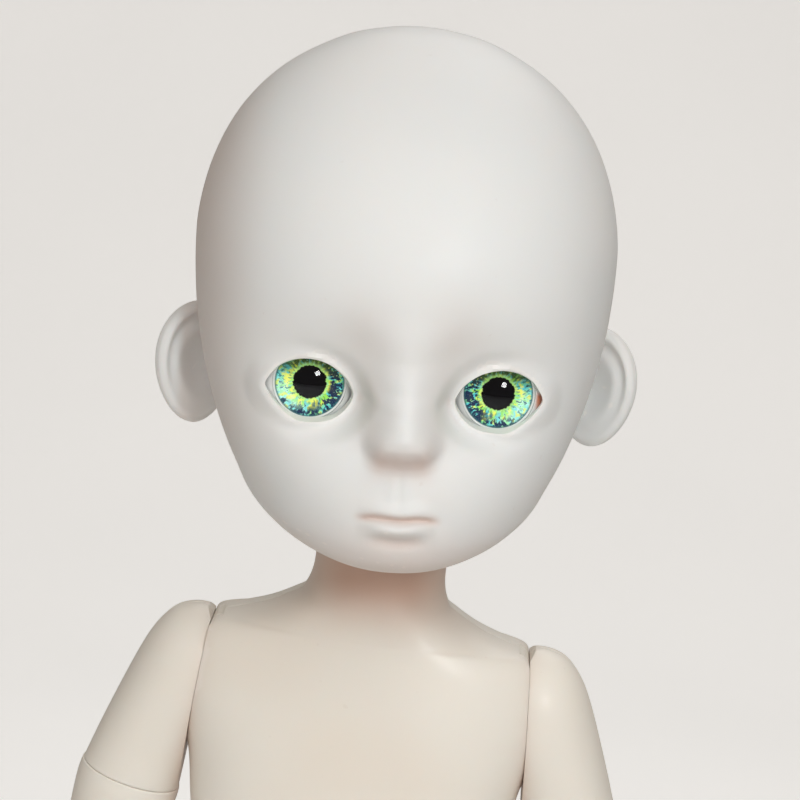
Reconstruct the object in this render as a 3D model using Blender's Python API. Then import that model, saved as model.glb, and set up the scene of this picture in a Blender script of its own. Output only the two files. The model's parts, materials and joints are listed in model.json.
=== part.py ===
"""Ball jointed doll, 300 mm tall, standing on its soles and facing -Y, with +X on its left hand side."""

import math
from dataclasses import dataclass

import bmesh
import bpy
from mathutils import Matrix, Vector

# Lengths along the figure, from the soles to the crown
ANKLE_HEIGHT = 0.014
SHIN_LENGTH = 0.0548
KNEE_SPAN = 0.0134
THIGH_LENGTH = 0.0548
HIP_TO_WAIST = 0.021
WAIST_TO_BEND = 0.010
BEND_TO_SHOULDER = 0.035
SHOULDER_TO_NECK = 0.024
HEAD_HEIGHT = 0.073

# Levels worked out from those lengths
KNEE_LEVEL = ANKLE_HEIGHT + SHIN_LENGTH
HIP_LEVEL = KNEE_LEVEL + KNEE_SPAN + THIGH_LENGTH
WAIST_LEVEL = HIP_LEVEL + HIP_TO_WAIST
BEND_LEVEL = WAIST_LEVEL + WAIST_TO_BEND
SHOULDER_LEVEL = BEND_LEVEL + BEND_TO_SHOULDER
NECK_LEVEL = SHOULDER_LEVEL + SHOULDER_TO_NECK
CROWN_LEVEL = NECK_LEVEL + HEAD_HEIGHT

# The trunk, limbs and neck share one parting plane, a little behind the middle of the head
SPINE_Y = 0.003

# Fits and tool sizes
CLEARANCE = 0.0003
LID_ROOM = 0.0006
LEVER_DEPTH_SHARE = 0.92
SEAM = 0.0002
TOP_EDGE_SLOPE = math.radians(38)
OVERRUN = 0.06

# Head
HEAD_WIDTH = 0.0590
HEAD_DEPTH = 0.068
HEAD_WALL_SHARE = 0.9
HEAD_FACE_WALL_SHARE = 0.8
HEAD_POWER_SHARE = 2.25
FACE_FADE_SHARE = 0.45
HEAD_TILT = math.radians(-3.4)
HEAD_TURN = math.radians(4.0)
FLOOR_THICKNESS = 0.0023
FLOOR_HOLE_RADIUS = 0.0072
CAP_SEAM_Y = 0.014
CAP_SLANT = math.radians(10)
CAP_FOOT = 0.013

# Face, all places measured up from the chin or across from the middle
EYE_HEIGHT = 0.0256
EYE_OFFSET = 0.0123
EYE_DEPTH = 0.0172
EYE_RADIUS = 0.0078
LID_THICKNESS = 0.0010
EYE_OPENING_WIDTH = 0.0116
EYE_OPENING_HEIGHT = 0.0076
IRIS_RADIUS = 0.0049
IRIS_THICKNESS = 0.0004
IRIS_RECESS = 0.0011
CORNEA_BULGE = 0.00205
CORNEA_EDGE = 0.0002

# Ears
EAR_LEVEL = 0.023
EAR_HEIGHT = 0.0176
EAR_WIDTH = 0.0140
EAR_THICKNESS = 0.0042
EAR_REACH = 0.0285
EAR_SET_BACK = 0.0042
EAR_FLARE = math.radians(38)
EAR_HOLLOW = 0.0016

# Neck joint
NECK_RADIUS = 0.0095
NECK_FOOT_SHARE = 0.75
NECK_DOME_ANGLES = (20, 40, 58, 74)
NECK_BALL_RADIUS = 0.0041
NECK_STEM_RADIUS = 0.0019
CUP_RADIUS = 0.0062
CUP_DEPTH = 0.0056
CUP_RISE = 0.0040
CUP_FLANGE = 0.0012
CUP_FLANGE_HEIGHT = 0.0016
CUP_MOUTH_ANGLE = math.radians(46)
SAUCER_THICKNESS = 0.0018
SAUCER_ANGLE = math.radians(35)

# Trunk
CHEST_HALF_WIDTH = 0.024
CHEST_DEPTH = 0.0144
CHEST_POWER_SHARE = 2.5
CHEST_BACK_SHARE = 0.78
CHEST_WALL_SHARE = 0.50
ABDOMEN_HALF_WIDTH = 0.0175
ABDOMEN_POWER_SHARE = 2.6
BARREL_RADIUS = 0.0095
BARREL_EDGE = 0.0012
WAIST_PEG_RADIUS = 0.0055
WAIST_PEG_LENGTH = 0.0070
WAIST_HEAD_RADIUS = 0.0075
WAIST_HEAD_LENGTH = 0.0030
PELVIS_HALF_WIDTH = 0.0215
PELVIS_DEPTH = 0.0144
PELVIS_POWER_SHARE = 2.4
PELVIS_BACK_SHARE = 0.90
CROTCH_DROP = 0.0134
SCREW_HOLE_RADIUS = 0.0017
SCREW_HOLE_DEPTH = 0.0020
CHEST_SCREW_SPACING = 0.018
PELVIS_SCREW_SPACING = 0.014
PELVIS_SCREW_DROP = 0.007

# Shoulder joint: a lid hinge on the corner of the chest and a turning disc below it
SHOULDER_HALF_WIDTH = 0.02385
SHOULDER_LEAN = math.radians(-4.5)
SHOULDER_REACH = 0.0079
SHOULDER_DISC_RADIUS = 0.0060
SHOULDER_DISC_DEPTH = 0.0022
SHOULDER_PEG_RADIUS = 0.0022
SHOULDER_PEG_LENGTH = 0.0033
SHOULDER_HEAD_RADIUS = 0.0034
SHOULDER_HEAD_LENGTH = 0.0020
SHOULDER_KNUCKLE_RADIUS = 0.0016
SHOULDER_KNUCKLE_WIDTH = 0.0024

# Hip joint, built like the shoulder
HIP_HALF_WIDTH = 0.0125
HIP_LEAN = math.radians(32)
HIP_REACH = 0.0133
HIP_DISC_RADIUS = 0.0080
HIP_DISC_DEPTH = 0.0030
HIP_PEG_RADIUS = 0.0032
HIP_PEG_LENGTH = 0.0048
HIP_HEAD_RADIUS = 0.0048
HIP_HEAD_LENGTH = 0.0026
HIP_KNUCKLE_RADIUS = 0.0020
HIP_KNUCKLE_WIDTH = 0.0030

# Arm, measured along its own axis
ARM_LEAN = math.radians(-12.3)
ARM_OFFSET = 0.00485
SLEEVE_LENGTH = 0.0175
SLEEVE_DOME = 0.0102
SLEEVE_WIDTH = 0.0078
SLEEVE_DEPTH = 0.0084
UPPER_ARM_LENGTH = 0.0365
BICEP_WIDTH = 0.0076
ARM_PEG_RADIUS = 0.0029
ARM_PEG_LENGTH = 0.0046
ARM_HEAD_RADIUS = 0.0041
ARM_HEAD_LENGTH = 0.0024
ELBOW_SPAN = 0.0094
ELBOW_RADIUS = 0.0045
ELBOW_HALF_WIDTH = 0.0052
ELBOW_LINK_RADIUS = 0.0038
ELBOW_LINK_WIDTH = 0.0021
ELBOW_PIN_RADIUS = 0.0015
FOREARM_LENGTH = 0.0301
FOREARM_WIDTH = 0.0058
WRIST_BALL_RADIUS = 0.0032
WRIST_STEM_RADIUS = 0.0015
WRIST_STEM_LENGTH = 0.0080
WRIST_RIM = 0.0003
WRIST_GAP = 0.0025

# Hand, with the palm towards the thigh and the thumb forward
PALM_LENGTH = 0.0138
PALM_HALF_BREADTH = 0.0062
PALM_HALF_THICKNESS = 0.0042
PALM_POWER_SHARE = 2.3
FINGER_RADIUS = 0.0013
FINGER_SPACING = 0.0031
FINGER_LENGTH = 0.0110
THUMB_LENGTH = 0.0090
THUMB_RADIUS = 0.0016
THUMB_TURN = math.radians(-32)
THUMB_ACROSS_SHARE = 0.62
THUMB_DOWN_SHARE = 0.38

# Leg
LIMB_POWER_SHARE = 2.1
LIMB_END_SHARE = 0.2
THIGH_WIDTH = 0.0122
THIGH_DEPTH = 0.0128
THIGH_AXIS = 0.0124
THIGH_SLEEVE = 0.0220
THIGH_DOME = 0.0125
THIGH_PEG_RADIUS = 0.0042
THIGH_PEG_LENGTH = 0.0055
THIGH_HEAD_RADIUS = 0.0058
THIGH_HEAD_LENGTH = 0.0026
KNEE_RADIUS = 0.0065
KNEE_HALF_WIDTH = 0.0078
KNEE_LINK_RADIUS = 0.0056
KNEE_LINK_WIDTH = 0.0032
KNEE_PIN_RADIUS = 0.0022
SHIN_WIDTH = 0.0084
ANKLE_BALL_RADIUS = 0.0050
ANKLE_STEM_RADIUS = 0.0022
ANKLE_STEM_LENGTH = 0.0120
ANKLE_RIM = 0.0004
ANKLE_GAP = 0.0041

# Foot
FOOT_FRONT = 0.0240
FOOT_BACK = 0.0106
FOOT_HALF_WIDTH = 0.0073
FOOT_POWER_SHARE = 2.3

# Smoothness of the faceted surfaces
HEAD_COLUMNS = 38
HEAD_ROWS = 26
CAVITY_COLUMNS = 20
CAVITY_ROWS = 13
TRUNK_COLUMNS = 24
FOOT_COLUMNS = 20
LIMB_COLUMNS = 14
ROUND_SIDES = 16
BALL_SIDES = 14
PEG_SIDES = 12
PIN_SIDES = 8
WIDE_SIDES = 24
SOCKET_SIDES = 20
DISC_SIDES = 18
EYE_STEPS = 7
DOME_STEPS = 3
BALL_STEPS = 7
SAUCER_STEPS = 3
PEG_BALL_STEPS = 6
KNUCKLE_STEPS = 9
CORNER_STEPS = 4
LINK_STEPS = 7
EMPTY_SIZE = 0.006

FACE_ROW_SHARE = 0.35
FACE_CROWDING_SHARE = 0.5
FACE_TURN_SHARE = 0.65

LEFT = 1
RIGHT = -1

# Head outline: height at the front, height at the back, half width, front and back, in shares
# of the head's height, half width and half depth, the last two measured from its middle
HEAD_SHARES = (
    (0.049, 0.068, 0.30, -0.26, 0.32),
    (0.022, 0.082, 0.40, -0.47, 0.44),
    (0.000, 0.103, 0.50, -0.65, 0.56),
    (0.022, 0.150, 0.65, -0.765, 0.69),
    (0.062, 0.199, 0.743, -0.818, 0.79),
    (0.110, 0.247, 0.787, -0.841, 0.868),
    (0.164, 0.295, 0.847, -0.853, 0.918),
    (0.226, 0.342, 0.897, -0.862, 0.947),
    (0.288, 0.390, 0.933, -0.868, 0.970),
    (0.349, 0.438, 0.960, -0.882, 0.988),
    (0.411, 0.486, 0.977, -0.903, 1.000),
    (0.473, 0.534, 0.990, -0.924, 1.006),
    (0.534, 0.582, 0.997, -0.932, 1.003),
    (0.596, 0.630, 0.995, -0.924, 0.988),
    (0.658, 0.685, 0.973, -0.894, 0.956),
    (0.719, 0.740, 0.933, -0.844, 0.903),
    (0.781, 0.795, 0.870, -0.771, 0.829),
    (0.836, 0.845, 0.787, -0.671, 0.732),
    (0.888, 0.893, 0.673, -0.547, 0.609),
    (0.932, 0.934, 0.530, -0.400, 0.462),
    (0.972, 0.973, 0.330, -0.229, 0.291),
    (0.9895, 0.9895, 0.150, -0.090, 0.150),
    (0.9940, 0.9940, 0.030, -0.010, 0.050),
)

# Forms of the face: place across and up in shares of the head's height, how far they reach
# across and up, and how far they stand out, in shares of the same height
FACE_SHARES = (
    (0.000, 0.285, 0.035, 0.035, 0.058),
    (0.000, 0.335, 0.034, 0.050, 0.030),
    (0.046, 0.268, 0.024, 0.022, 0.022),
    (0.178, 0.350, 0.095, 0.075, -0.026),
    (0.150, 0.490, 0.130, 0.060, 0.008),
    (0.190, 0.200, 0.100, 0.085, 0.020),
    (0.000, 0.140, 0.100, 0.070, 0.024),
    (0.000, 0.155, 0.055, 0.018, 0.012),
    (0.000, 0.108, 0.045, 0.018, 0.014),
    (0.000, 0.131, 0.060, 0.007, -0.010),
    (0.000, 0.078, 0.050, 0.016, -0.007),
    (0.000, 0.040, 0.080, 0.040, 0.016),
    (0.000, 0.200, 0.014, 0.030, -0.006),
)

# Chest outline: height, half width, front and back, in shares of the length from the bend
# to the neck joint, the chest's half width and its depth
CHEST_SHARES = (
    (0.000, 0.842, 0.830, 0.830),
    (0.068, 0.867, 0.917, 0.826),
    (0.169, 0.925, 0.972, 0.806),
    (0.288, 0.975, 1.000, 0.806),
    (0.407, 1.021, 0.986, 0.799),
    (0.508, 1.110, 0.944, 0.785),
    (0.593, 1.180, 0.889, 0.764),
    (0.695, 1.150, 0.792, 0.736),
    (0.747, 1.020, 0.736, 0.708),
    (0.764, 0.850, 0.722, 0.701),
    (0.792, 0.650, 0.708, 0.694),
    (0.836, 0.450, 0.688, 0.680),
)

# Pelvis outline: height below the waist, half width, front and back, in shares of the
# length from waist to crotch, the pelvis's half width and its depth
PELVIS_SHARES = (
    (1.000, 0.130, 0.380, 0.250),
    (0.960, 0.330, 0.600, 0.450),
    (0.870, 0.560, 0.760, 0.680),
    (0.730, 0.840, 0.875, 0.920),
    (0.550, 0.980, 0.930, 1.000),
    (0.380, 1.000, 0.944, 0.993),
    (0.230, 0.967, 0.924, 0.944),
    (0.110, 0.912, 0.870, 0.870),
    (0.000, 0.851, 0.806, 0.806),
)

# Waist outline: height, half width and half depth, in shares of the length from waist to
# bend, the abdomen's half width and the barrel's radius
WAIST_SHARES = (
    (0.030, 1.000, 1.200),
    (0.250, 0.990, 1.100),
    (0.400, 0.980, 0.980),
    (0.530, 0.970, 0.860),
    (1.000, 0.960, 0.880),
)

# Limb outlines: height along the limb, middle, half width, front and back, in shares of
# the limb's length, width and depth. Heights run down from the upper end at 1 to 0
SLEEVE_SHARES = (
    (0.000, 0.000, 0.936, 0.857, 0.857),
    (0.165, -0.050, 0.925, 0.881, 0.881),
    (0.340, -0.155, 0.950, 0.940, 0.940),
    (0.520, -0.310, 1.012, 1.000, 1.000),
    (0.665, -0.385, 1.000, 1.000, 1.000),
    (0.775, -0.400, 0.923, 0.940, 0.940),
    (0.865, -0.390, 0.785, 0.810, 0.810),
    (0.935, -0.370, 0.600, 0.610, 0.610),
    (0.978, -0.355, 0.365, 0.390, 0.390),
    (1.000, -0.350, 0.160, 0.180, 0.180),
)
BICEP_SHARES = (
    (0.000, 0.000, 0.690, 0.590, 0.590),
    (0.080, 0.000, 0.710, 0.640, 0.640),
    (0.330, 0.000, 0.810, 0.790, 0.790),
    (0.620, 0.000, 0.920, 0.915, 0.915),
    (0.880, 0.000, 0.990, 0.980, 0.980),
    (1.000, 0.000, 0.980, 0.965, 0.965),
)
FOREARM_SHARES = (
    (0.000, 0.000, 0.725, 0.725, 0.725),
    (0.090, 0.000, 0.740, 0.740, 0.740),
    (0.290, 0.000, 0.860, 0.840, 0.840),
    (0.500, 0.000, 0.975, 0.930, 0.930),
    (0.700, 0.000, 1.000, 0.930, 0.930),
    (0.880, 0.000, 0.930, 0.830, 0.830),
    (1.000, 0.000, 0.897, 0.765, 0.765),
)
THIGH_SHARES = (
    (0.000, 0.000, 0.943, 0.906, 0.906),
    (0.200, 0.016, 0.970, 0.950, 0.950),
    (0.435, 0.050, 0.995, 1.000, 1.000),
    (0.640, 0.130, 0.970, 0.985, 0.985),
    (0.770, 0.220, 0.850, 0.900, 0.900),
    (0.870, 0.330, 0.680, 0.770, 0.770),
    (0.945, 0.440, 0.480, 0.570, 0.570),
    (0.985, 0.510, 0.300, 0.350, 0.350),
    (1.000, 0.530, 0.140, 0.170, 0.170),
)
LOWER_THIGH_SHARES = (
    (0.000, 0.000, 0.640, 0.500, 0.500),
    (0.095, 0.000, 0.655, 0.580, 0.570),
    (0.215, 0.000, 0.690, 0.680, 0.650),
    (0.430, 0.000, 0.770, 0.780, 0.740),
    (0.730, 0.000, 0.885, 0.870, 0.850),
    (1.000, 0.000, 0.940, 0.906, 0.890),
)
SHIN_SHARES = (
    (0.000, 0.000, 0.762, 0.762, 0.762),
    (0.070, 0.000, 0.750, 0.755, 0.755),
    (0.200, 0.000, 0.738, 0.750, 0.762),
    (0.400, 0.000, 0.820, 0.800, 0.905),
    (0.600, 0.000, 0.950, 0.870, 1.060),
    (0.760, 0.000, 0.975, 0.880, 1.080),
    (0.900, 0.000, 0.930, 0.840, 0.900),
    (1.000, 0.000, 0.905, 0.774, 0.774),
)
PALM_SHARES = (
    (0.000, 0.000, 0.500, 0.960, 0.960),
    (0.200, 0.000, 0.640, 1.000, 1.000),
    (0.470, 0.000, 0.780, 0.900, 0.900),
    (0.780, 0.000, 0.920, 0.740, 0.740),
    (1.000, 0.000, 1.050, 0.710, 0.710),
)

# Foot outline: height, half width, front and back, in shares of the ankle's height, the
# foot's half width, and its reach in front of and behind the ankle
FOOT_SHARES = (
    (0.000, 0.870, 0.940, 0.930),
    (0.080, 0.960, 1.000, 0.990),
    (0.270, 1.000, 1.000, 1.000),
    (0.480, 0.975, 0.850, 0.970),
    (0.700, 0.940, 0.550, 0.880),
    (0.880, 0.910, 0.350, 0.740),
    (1.000, 0.904, 0.275, 0.623),
)

# Fingers: place across the palm in finger spacings and length in shares of the longest
FINGER_SHARES = (
    (-1.5, 0.88),
    (-0.5, 1.00),
    (0.5, 0.94),
    (1.5, 0.76),
)

# One finger: distance down it and half thickness, in shares of its length and radius
FINGER_TIP_SHARES = (
    (0.0, 1.00),
    (0.6, 0.97),
    (0.9, 0.78),
    (1.0, 0.34),
)


@dataclass
class LidJoint:
    """Sizes of a lid hinge with a disc below it, on a flat side plane whose tilt is the lean."""

    half_width: float
    level: float
    lean: float
    reach: float
    disc_radius: float
    disc_depth: float
    peg_radius: float
    peg_length: float
    head_radius: float
    head_length: float
    knuckle_radius: float
    knuckle_width: float

    def origin(self):
        return Vector((self.half_width, SPINE_Y, self.level))

    def pivot(self):
        """Hinge line in the joint's own frame: X out of the side plane, Z up along it."""
        return Vector((-self.knuckle_radius, 0, self.reach))

    def matrix(self):
        return Matrix.Translation(self.origin()) @ Matrix.Rotation(self.lean, 4, "Y")


SHOULDER = LidJoint(
    half_width=SHOULDER_HALF_WIDTH,
    level=SHOULDER_LEVEL,
    lean=SHOULDER_LEAN,
    reach=SHOULDER_REACH,
    disc_radius=SHOULDER_DISC_RADIUS,
    disc_depth=SHOULDER_DISC_DEPTH,
    peg_radius=SHOULDER_PEG_RADIUS,
    peg_length=SHOULDER_PEG_LENGTH,
    head_radius=SHOULDER_HEAD_RADIUS,
    head_length=SHOULDER_HEAD_LENGTH,
    knuckle_radius=SHOULDER_KNUCKLE_RADIUS,
    knuckle_width=SHOULDER_KNUCKLE_WIDTH,
)
HIP = LidJoint(
    half_width=HIP_HALF_WIDTH,
    level=HIP_LEVEL,
    lean=HIP_LEAN,
    reach=HIP_REACH,
    disc_radius=HIP_DISC_RADIUS,
    disc_depth=HIP_DISC_DEPTH,
    peg_radius=HIP_PEG_RADIUS,
    peg_length=HIP_PEG_LENGTH,
    head_radius=HIP_HEAD_RADIUS,
    head_length=HIP_HEAD_LENGTH,
    knuckle_radius=HIP_KNUCKLE_RADIUS,
    knuckle_width=HIP_KNUCKLE_WIDTH,
)


# Materials


def plastic(name, color, roughness, metallic=0):
    material = bpy.data.materials.new(name)
    material.use_nodes = True
    shader = material.node_tree.nodes["Principled BSDF"]
    shader.inputs["Base Color"].default_value = (*color, 1)
    shader.inputs["Roughness"].default_value = roughness
    shader.inputs["Metallic"].default_value = metallic
    return material


def make_materials():
    return {
        "head": plastic("head vinyl", (0.80, 0.80, 0.78), 0.45),
        "body": plastic("body plastic", (0.80, 0.74, 0.64), 0.38),
        "joint": plastic("joint plastic", (0.74, 0.67, 0.57), 0.45),
        "eye": plastic("eye white", (0.90, 0.90, 0.88), 0.15),
        "iris": plastic("iris", (0.35, 0.75, 0.30), 0.30),
        "cornea": plastic("cornea", (0.95, 0.97, 0.96), 0.03),
    }


# Mesh helpers


def as_object(name, mesh):
    piece = bpy.data.objects.new(name, mesh)
    bpy.context.scene.collection.objects.link(piece)
    return piece


def from_faces(name, points, faces):
    """A closed mesh object whose faces are turned outwards."""
    mesh = bpy.data.meshes.new(name)
    mesh.from_pydata([tuple(point) for point in points], [], faces)
    shell = bmesh.new()
    shell.from_mesh(mesh)
    bmesh.ops.recalc_face_normals(shell, faces=shell.faces)
    shell.to_mesh(mesh)
    shell.free()
    return as_object(name, mesh)


def loft(name, rings):
    """Skins equal rings of points one after the other and closes both ends."""
    count = len(rings[0])
    points = [point for ring in rings for point in ring]
    faces = []
    for row in range(len(rings) - 1):
        low = row * count
        high = low + count
        for column in range(count):
            after = (column + 1) % count
            faces.append((low + column, low + after, high + after, high + column))
    faces.append(tuple(range(count)))
    faces.append(tuple(range(len(points) - count, len(points))))
    return from_faces(name, points, faces)


def rounded_ring(level, half_width, front, back, middle=0, power=2, count=LIMB_COLUMNS):
    """A level ring, wider or narrower in front of the Y plane than behind it."""
    ring = []
    for step in range(count):
        angle = math.tau * step / count
        across = math.sin(angle)
        along = -math.cos(angle)
        reach = front if along < 0 else back
        x = middle + half_width * math.copysign(abs(across) ** (2 / power), across)
        y = reach * math.copysign(abs(along) ** (2 / power), along)
        ring.append(Vector((x, y, level)))
    return ring


def turned(name, profile, sides=ROUND_SIDES):
    """Turns a profile of (radius, height) pairs, bottom to top, round Z."""
    points = []
    rows = []
    for radius, height in profile:
        if radius == 0:
            rows.append([len(points)] * sides)
            points.append(Vector((0, 0, height)))
            continue
        rows.append(list(range(len(points), len(points) + sides)))
        for step in range(sides):
            angle = math.tau * step / sides
            points.append(Vector((radius * math.cos(angle), radius * math.sin(angle), height)))
    faces = []
    for low, high in zip(rows, rows[1:]):
        for column in range(sides):
            after = (column + 1) % sides
            corners = (low[column], low[after], high[after], high[column])
            faces.append(tuple(dict.fromkeys(corners)))
    for end in (rows[0], rows[-1]):
        if len(set(end)) > 1:
            faces.append(tuple(end))
    return from_faces(name, points, faces)


def arc(radius, start, end, steps, center=0):
    """Profile points on a circle round (0, center), with angles measured up from level."""
    turn = (end - start) / steps
    profile = []
    for step in range(steps + 1):
        angle = start + turn * step
        pole = abs(abs(angle) - math.pi / 2) < turn / 1000
        profile.append((0 if pole else radius * math.cos(angle), center + radius * math.sin(angle)))
    return profile


def ball(name, radius, sides=ROUND_SIDES):
    return turned(name, arc(radius, -math.pi / 2, math.pi / 2, sides // 2), sides)


def rod(name, radius, start, end, sides=ROUND_SIDES):
    return turned(name, ((radius, start), (radius, end)), sides)


def box(name, low, high):
    (x0, y0, z0), (x1, y1, z1) = low, high
    points = [(x, y, z) for z in (z0, z1) for x, y in ((x0, y0), (x1, y0), (x1, y1), (x0, y1))]
    faces = [(0, 1, 2, 3), (4, 5, 6, 7), (0, 1, 5, 4), (1, 2, 6, 5), (2, 3, 7, 6), (3, 0, 4, 7)]
    return from_faces(name, points, faces)


def aim(piece, axis):
    """Turns a piece that was built along Z so that it lies along X, out of it, or along -Y."""
    if axis == "X":
        piece.data.transform(Matrix.Rotation(math.pi / 2, 4, "Y"))
    if axis == "-Y":
        piece.data.transform(Matrix.Rotation(math.pi / 2, 4, "X"))
    return piece


def shift(piece, offset):
    piece.data.transform(Matrix.Translation(offset))
    return piece


def combine(piece, tool, operation, keep=False):
    """Cuts the tool out of a piece, or joins it on, as both stand in the world."""
    change = piece.modifiers.new(operation.lower(), "BOOLEAN")
    change.operation = operation
    change.object = tool
    bpy.context.view_layer.update()
    graph = bpy.context.evaluated_depsgraph_get()
    shaped = bpy.data.meshes.new_from_object(piece.evaluated_get(graph))
    piece.modifiers.clear()
    before = piece.data
    piece.data = shaped
    bpy.data.meshes.remove(before)
    if not keep:
        bpy.data.objects.remove(tool)
    return piece


def cut(piece, tool, keep=False):
    return combine(piece, tool, "DIFFERENCE", keep)


def join(piece, tool):
    return combine(piece, tool, "UNION")


def copy_of(piece, name):
    twin = piece.copy()
    twin.data = piece.data.copy()
    twin.name = name
    bpy.context.scene.collection.objects.link(twin)
    return twin


def soften(piece, width, angle=math.radians(50)):
    """Rounds the sharp edges of a plain piece by a small bevel."""
    shell = bmesh.new()
    shell.from_mesh(piece.data)
    sharp = [edge for edge in shell.edges if edge.is_manifold and edge.calc_face_angle() > angle]
    bmesh.ops.bevel(shell, geom=sharp, offset=width, segments=1, affect="EDGES")
    shell.to_mesh(piece.data)
    shell.free()
    return piece


def place(piece, matrix):
    piece.matrix_basis = matrix
    return piece


def halves(piece, front_name, back_name):
    """Splits a piece at its own Y plane into a front half and a back half."""
    back = copy_of(piece, back_name)
    piece.name = front_name
    wide = OVERRUN
    tall = CROWN_LEVEL
    gap = SEAM / 2
    behind = box("behind", (-wide, -gap, -tall), (wide, wide, tall))
    before = box("before", (-wide, -wide, -tall), (wide, gap, tall))
    cut(piece, place(behind, piece.matrix_basis))
    cut(back, place(before, piece.matrix_basis))
    return piece, back


def mirrored(piece, name):
    """The same piece for the right hand side."""
    twin = copy_of(piece, name)
    flip = Matrix.Scale(-1, 4, Vector((1, 0, 0)))
    twin.data.transform(flip)
    twin.data.flip_normals()
    twin.matrix_basis = flip @ piece.matrix_basis @ flip
    return twin


def on_that_side(piece, side):
    """A left hand piece as it is, or turned into its right hand twin."""
    if side == LEFT:
        return piece
    twin = mirrored(piece, piece.name + "_twin")
    bpy.data.objects.remove(piece)
    return twin


# Head


def crowded(share):
    """Shares of the way up the head, drawn together where the face is."""
    turn = math.sin(math.tau * (share - FACE_ROW_SHARE)) + math.sin(math.tau * FACE_ROW_SHARE)
    return share - FACE_CROWDING_SHARE * turn / math.tau


def smooth_table(rows, count):
    """Reads count rows from a smooth curve through the rows of a table."""
    result = []
    last = len(rows) - 1
    for step in range(count):
        place_on = last * crowded(step / (count - 1))
        index = min(int(place_on), last - 1)
        t = place_on - index
        around = [rows[min(max(index + offset, 0), last)] for offset in (-1, 0, 1, 2)]
        row = []
        for a, b, c, d in zip(*around):
            bend = (2 * a - 5 * b + 4 * c - d) * t * t + (3 * b - a - 3 * c + d) * t * t * t
            row.append(b + ((c - a) * t + bend) / 2)
        result.append(row)
    return result


def face_rise(x, height):
    """How far the face stands out in front of the plain head at a place on it."""
    rise = 0
    for across, up, wide, tall, out in FACE_SHARES:
        for sign in (LEFT, RIGHT) if across else (LEFT,):
            side = (x / HEAD_HEIGHT - sign * across) / wide
            over = (height / HEAD_HEIGHT - up) / tall
            rise += out * HEAD_HEIGHT * math.exp(-(side * side + over * over) / 2)
    return rise


def lid_front(x, height, y):
    """Draws the face forward where a lid passes over the front of an eyeball."""
    radius = EYE_RADIUS + CLEARANCE + LID_THICKNESS
    for sign in (LEFT, RIGHT):
        side = x - sign * EYE_OFFSET
        over = height - EYE_HEIGHT
        room = radius * radius - side * side - over * over
        if room > 0:
            y = min(y, -EYE_DEPTH - math.sqrt(room))
    return y


def head_rings(columns, rows, wall=1, face_wall=1, with_face=True):
    """Tilted rings from under the jaw to the crown, drawn in by the wall shares."""
    rings = []
    middle = HEAD_HEIGHT / 2
    for front_up, back_up, wide, front, back in smooth_table(HEAD_SHARES, rows):
        ring = []
        for step in range(columns):
            even = math.tau * step / columns
            angle = even - FACE_TURN_SHARE * math.sin(even)
            across = math.sin(angle)
            along = -math.cos(angle)
            power = 2 / HEAD_POWER_SHARE
            x = wide * math.copysign(abs(across) ** power, across) * HEAD_WIDTH / 2 * wall
            share = -front * face_wall if along < 0 else back * wall
            y = share * math.copysign(abs(along) ** power, along) * HEAD_DEPTH / 2
            tip = (1 + along) / 2
            height = (front_up + (back_up - front_up) * tip) * HEAD_HEIGHT
            height = middle + (height - middle) * wall
            if with_face and y < 0:
                facing = min(1, -y / (HEAD_DEPTH / 2) / FACE_FADE_SHARE)
                y -= face_rise(x, height) * facing
                y = lid_front(x, height, y)
            ring.append(Vector((x, y, NECK_LEVEL + height)))
        rings.append(ring)
    return rings


def ear():
    """A flattened round shell with a rolled rim, standing out from the side of the head."""
    half = (EAR_WIDTH / 2, EAR_THICKNESS / 2, EAR_HEIGHT / 2)
    shell = ball("ear", 1, PEG_SIDES)
    shell.data.transform(Matrix.Diagonal((*half, 1)))
    hollow = ball("ear hollow", 1, PEG_SIDES)
    rim = EAR_HOLLOW
    inner = (half[0] - rim, half[1], half[2] - rim)
    hollow.data.transform(Matrix.Diagonal((*inner, 1)))
    shift(hollow, Vector((0, -EAR_HOLLOW, 0)))
    cut(shell, hollow)
    turn = Matrix.Rotation(-EAR_FLARE, 4, "Z")
    spot = Matrix.Translation(Vector((EAR_REACH, EAR_SET_BACK, NECK_LEVEL + EAR_LEVEL)))
    shell.data.transform(spot @ turn)
    return shell


def eye_center():
    return Vector((EYE_OFFSET, -EYE_DEPTH, NECK_LEVEL + EYE_HEIGHT))


def eye_opening():
    """A tool with the outline of the open lids, running straight back."""
    count = ROUND_SIDES
    rings = []
    for depth in (-OVERRUN, 0):
        ring = []
        for step in range(count):
            angle = math.tau * step / count
            x = EYE_OPENING_WIDTH / 2 * math.cos(angle)
            z = EYE_OPENING_HEIGHT / 2 * math.sin(angle)
            ring.append(Vector((x, depth, z)))
        rings.append(ring)
    return shift(loft("eye_opening", rings), eye_center())


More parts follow.
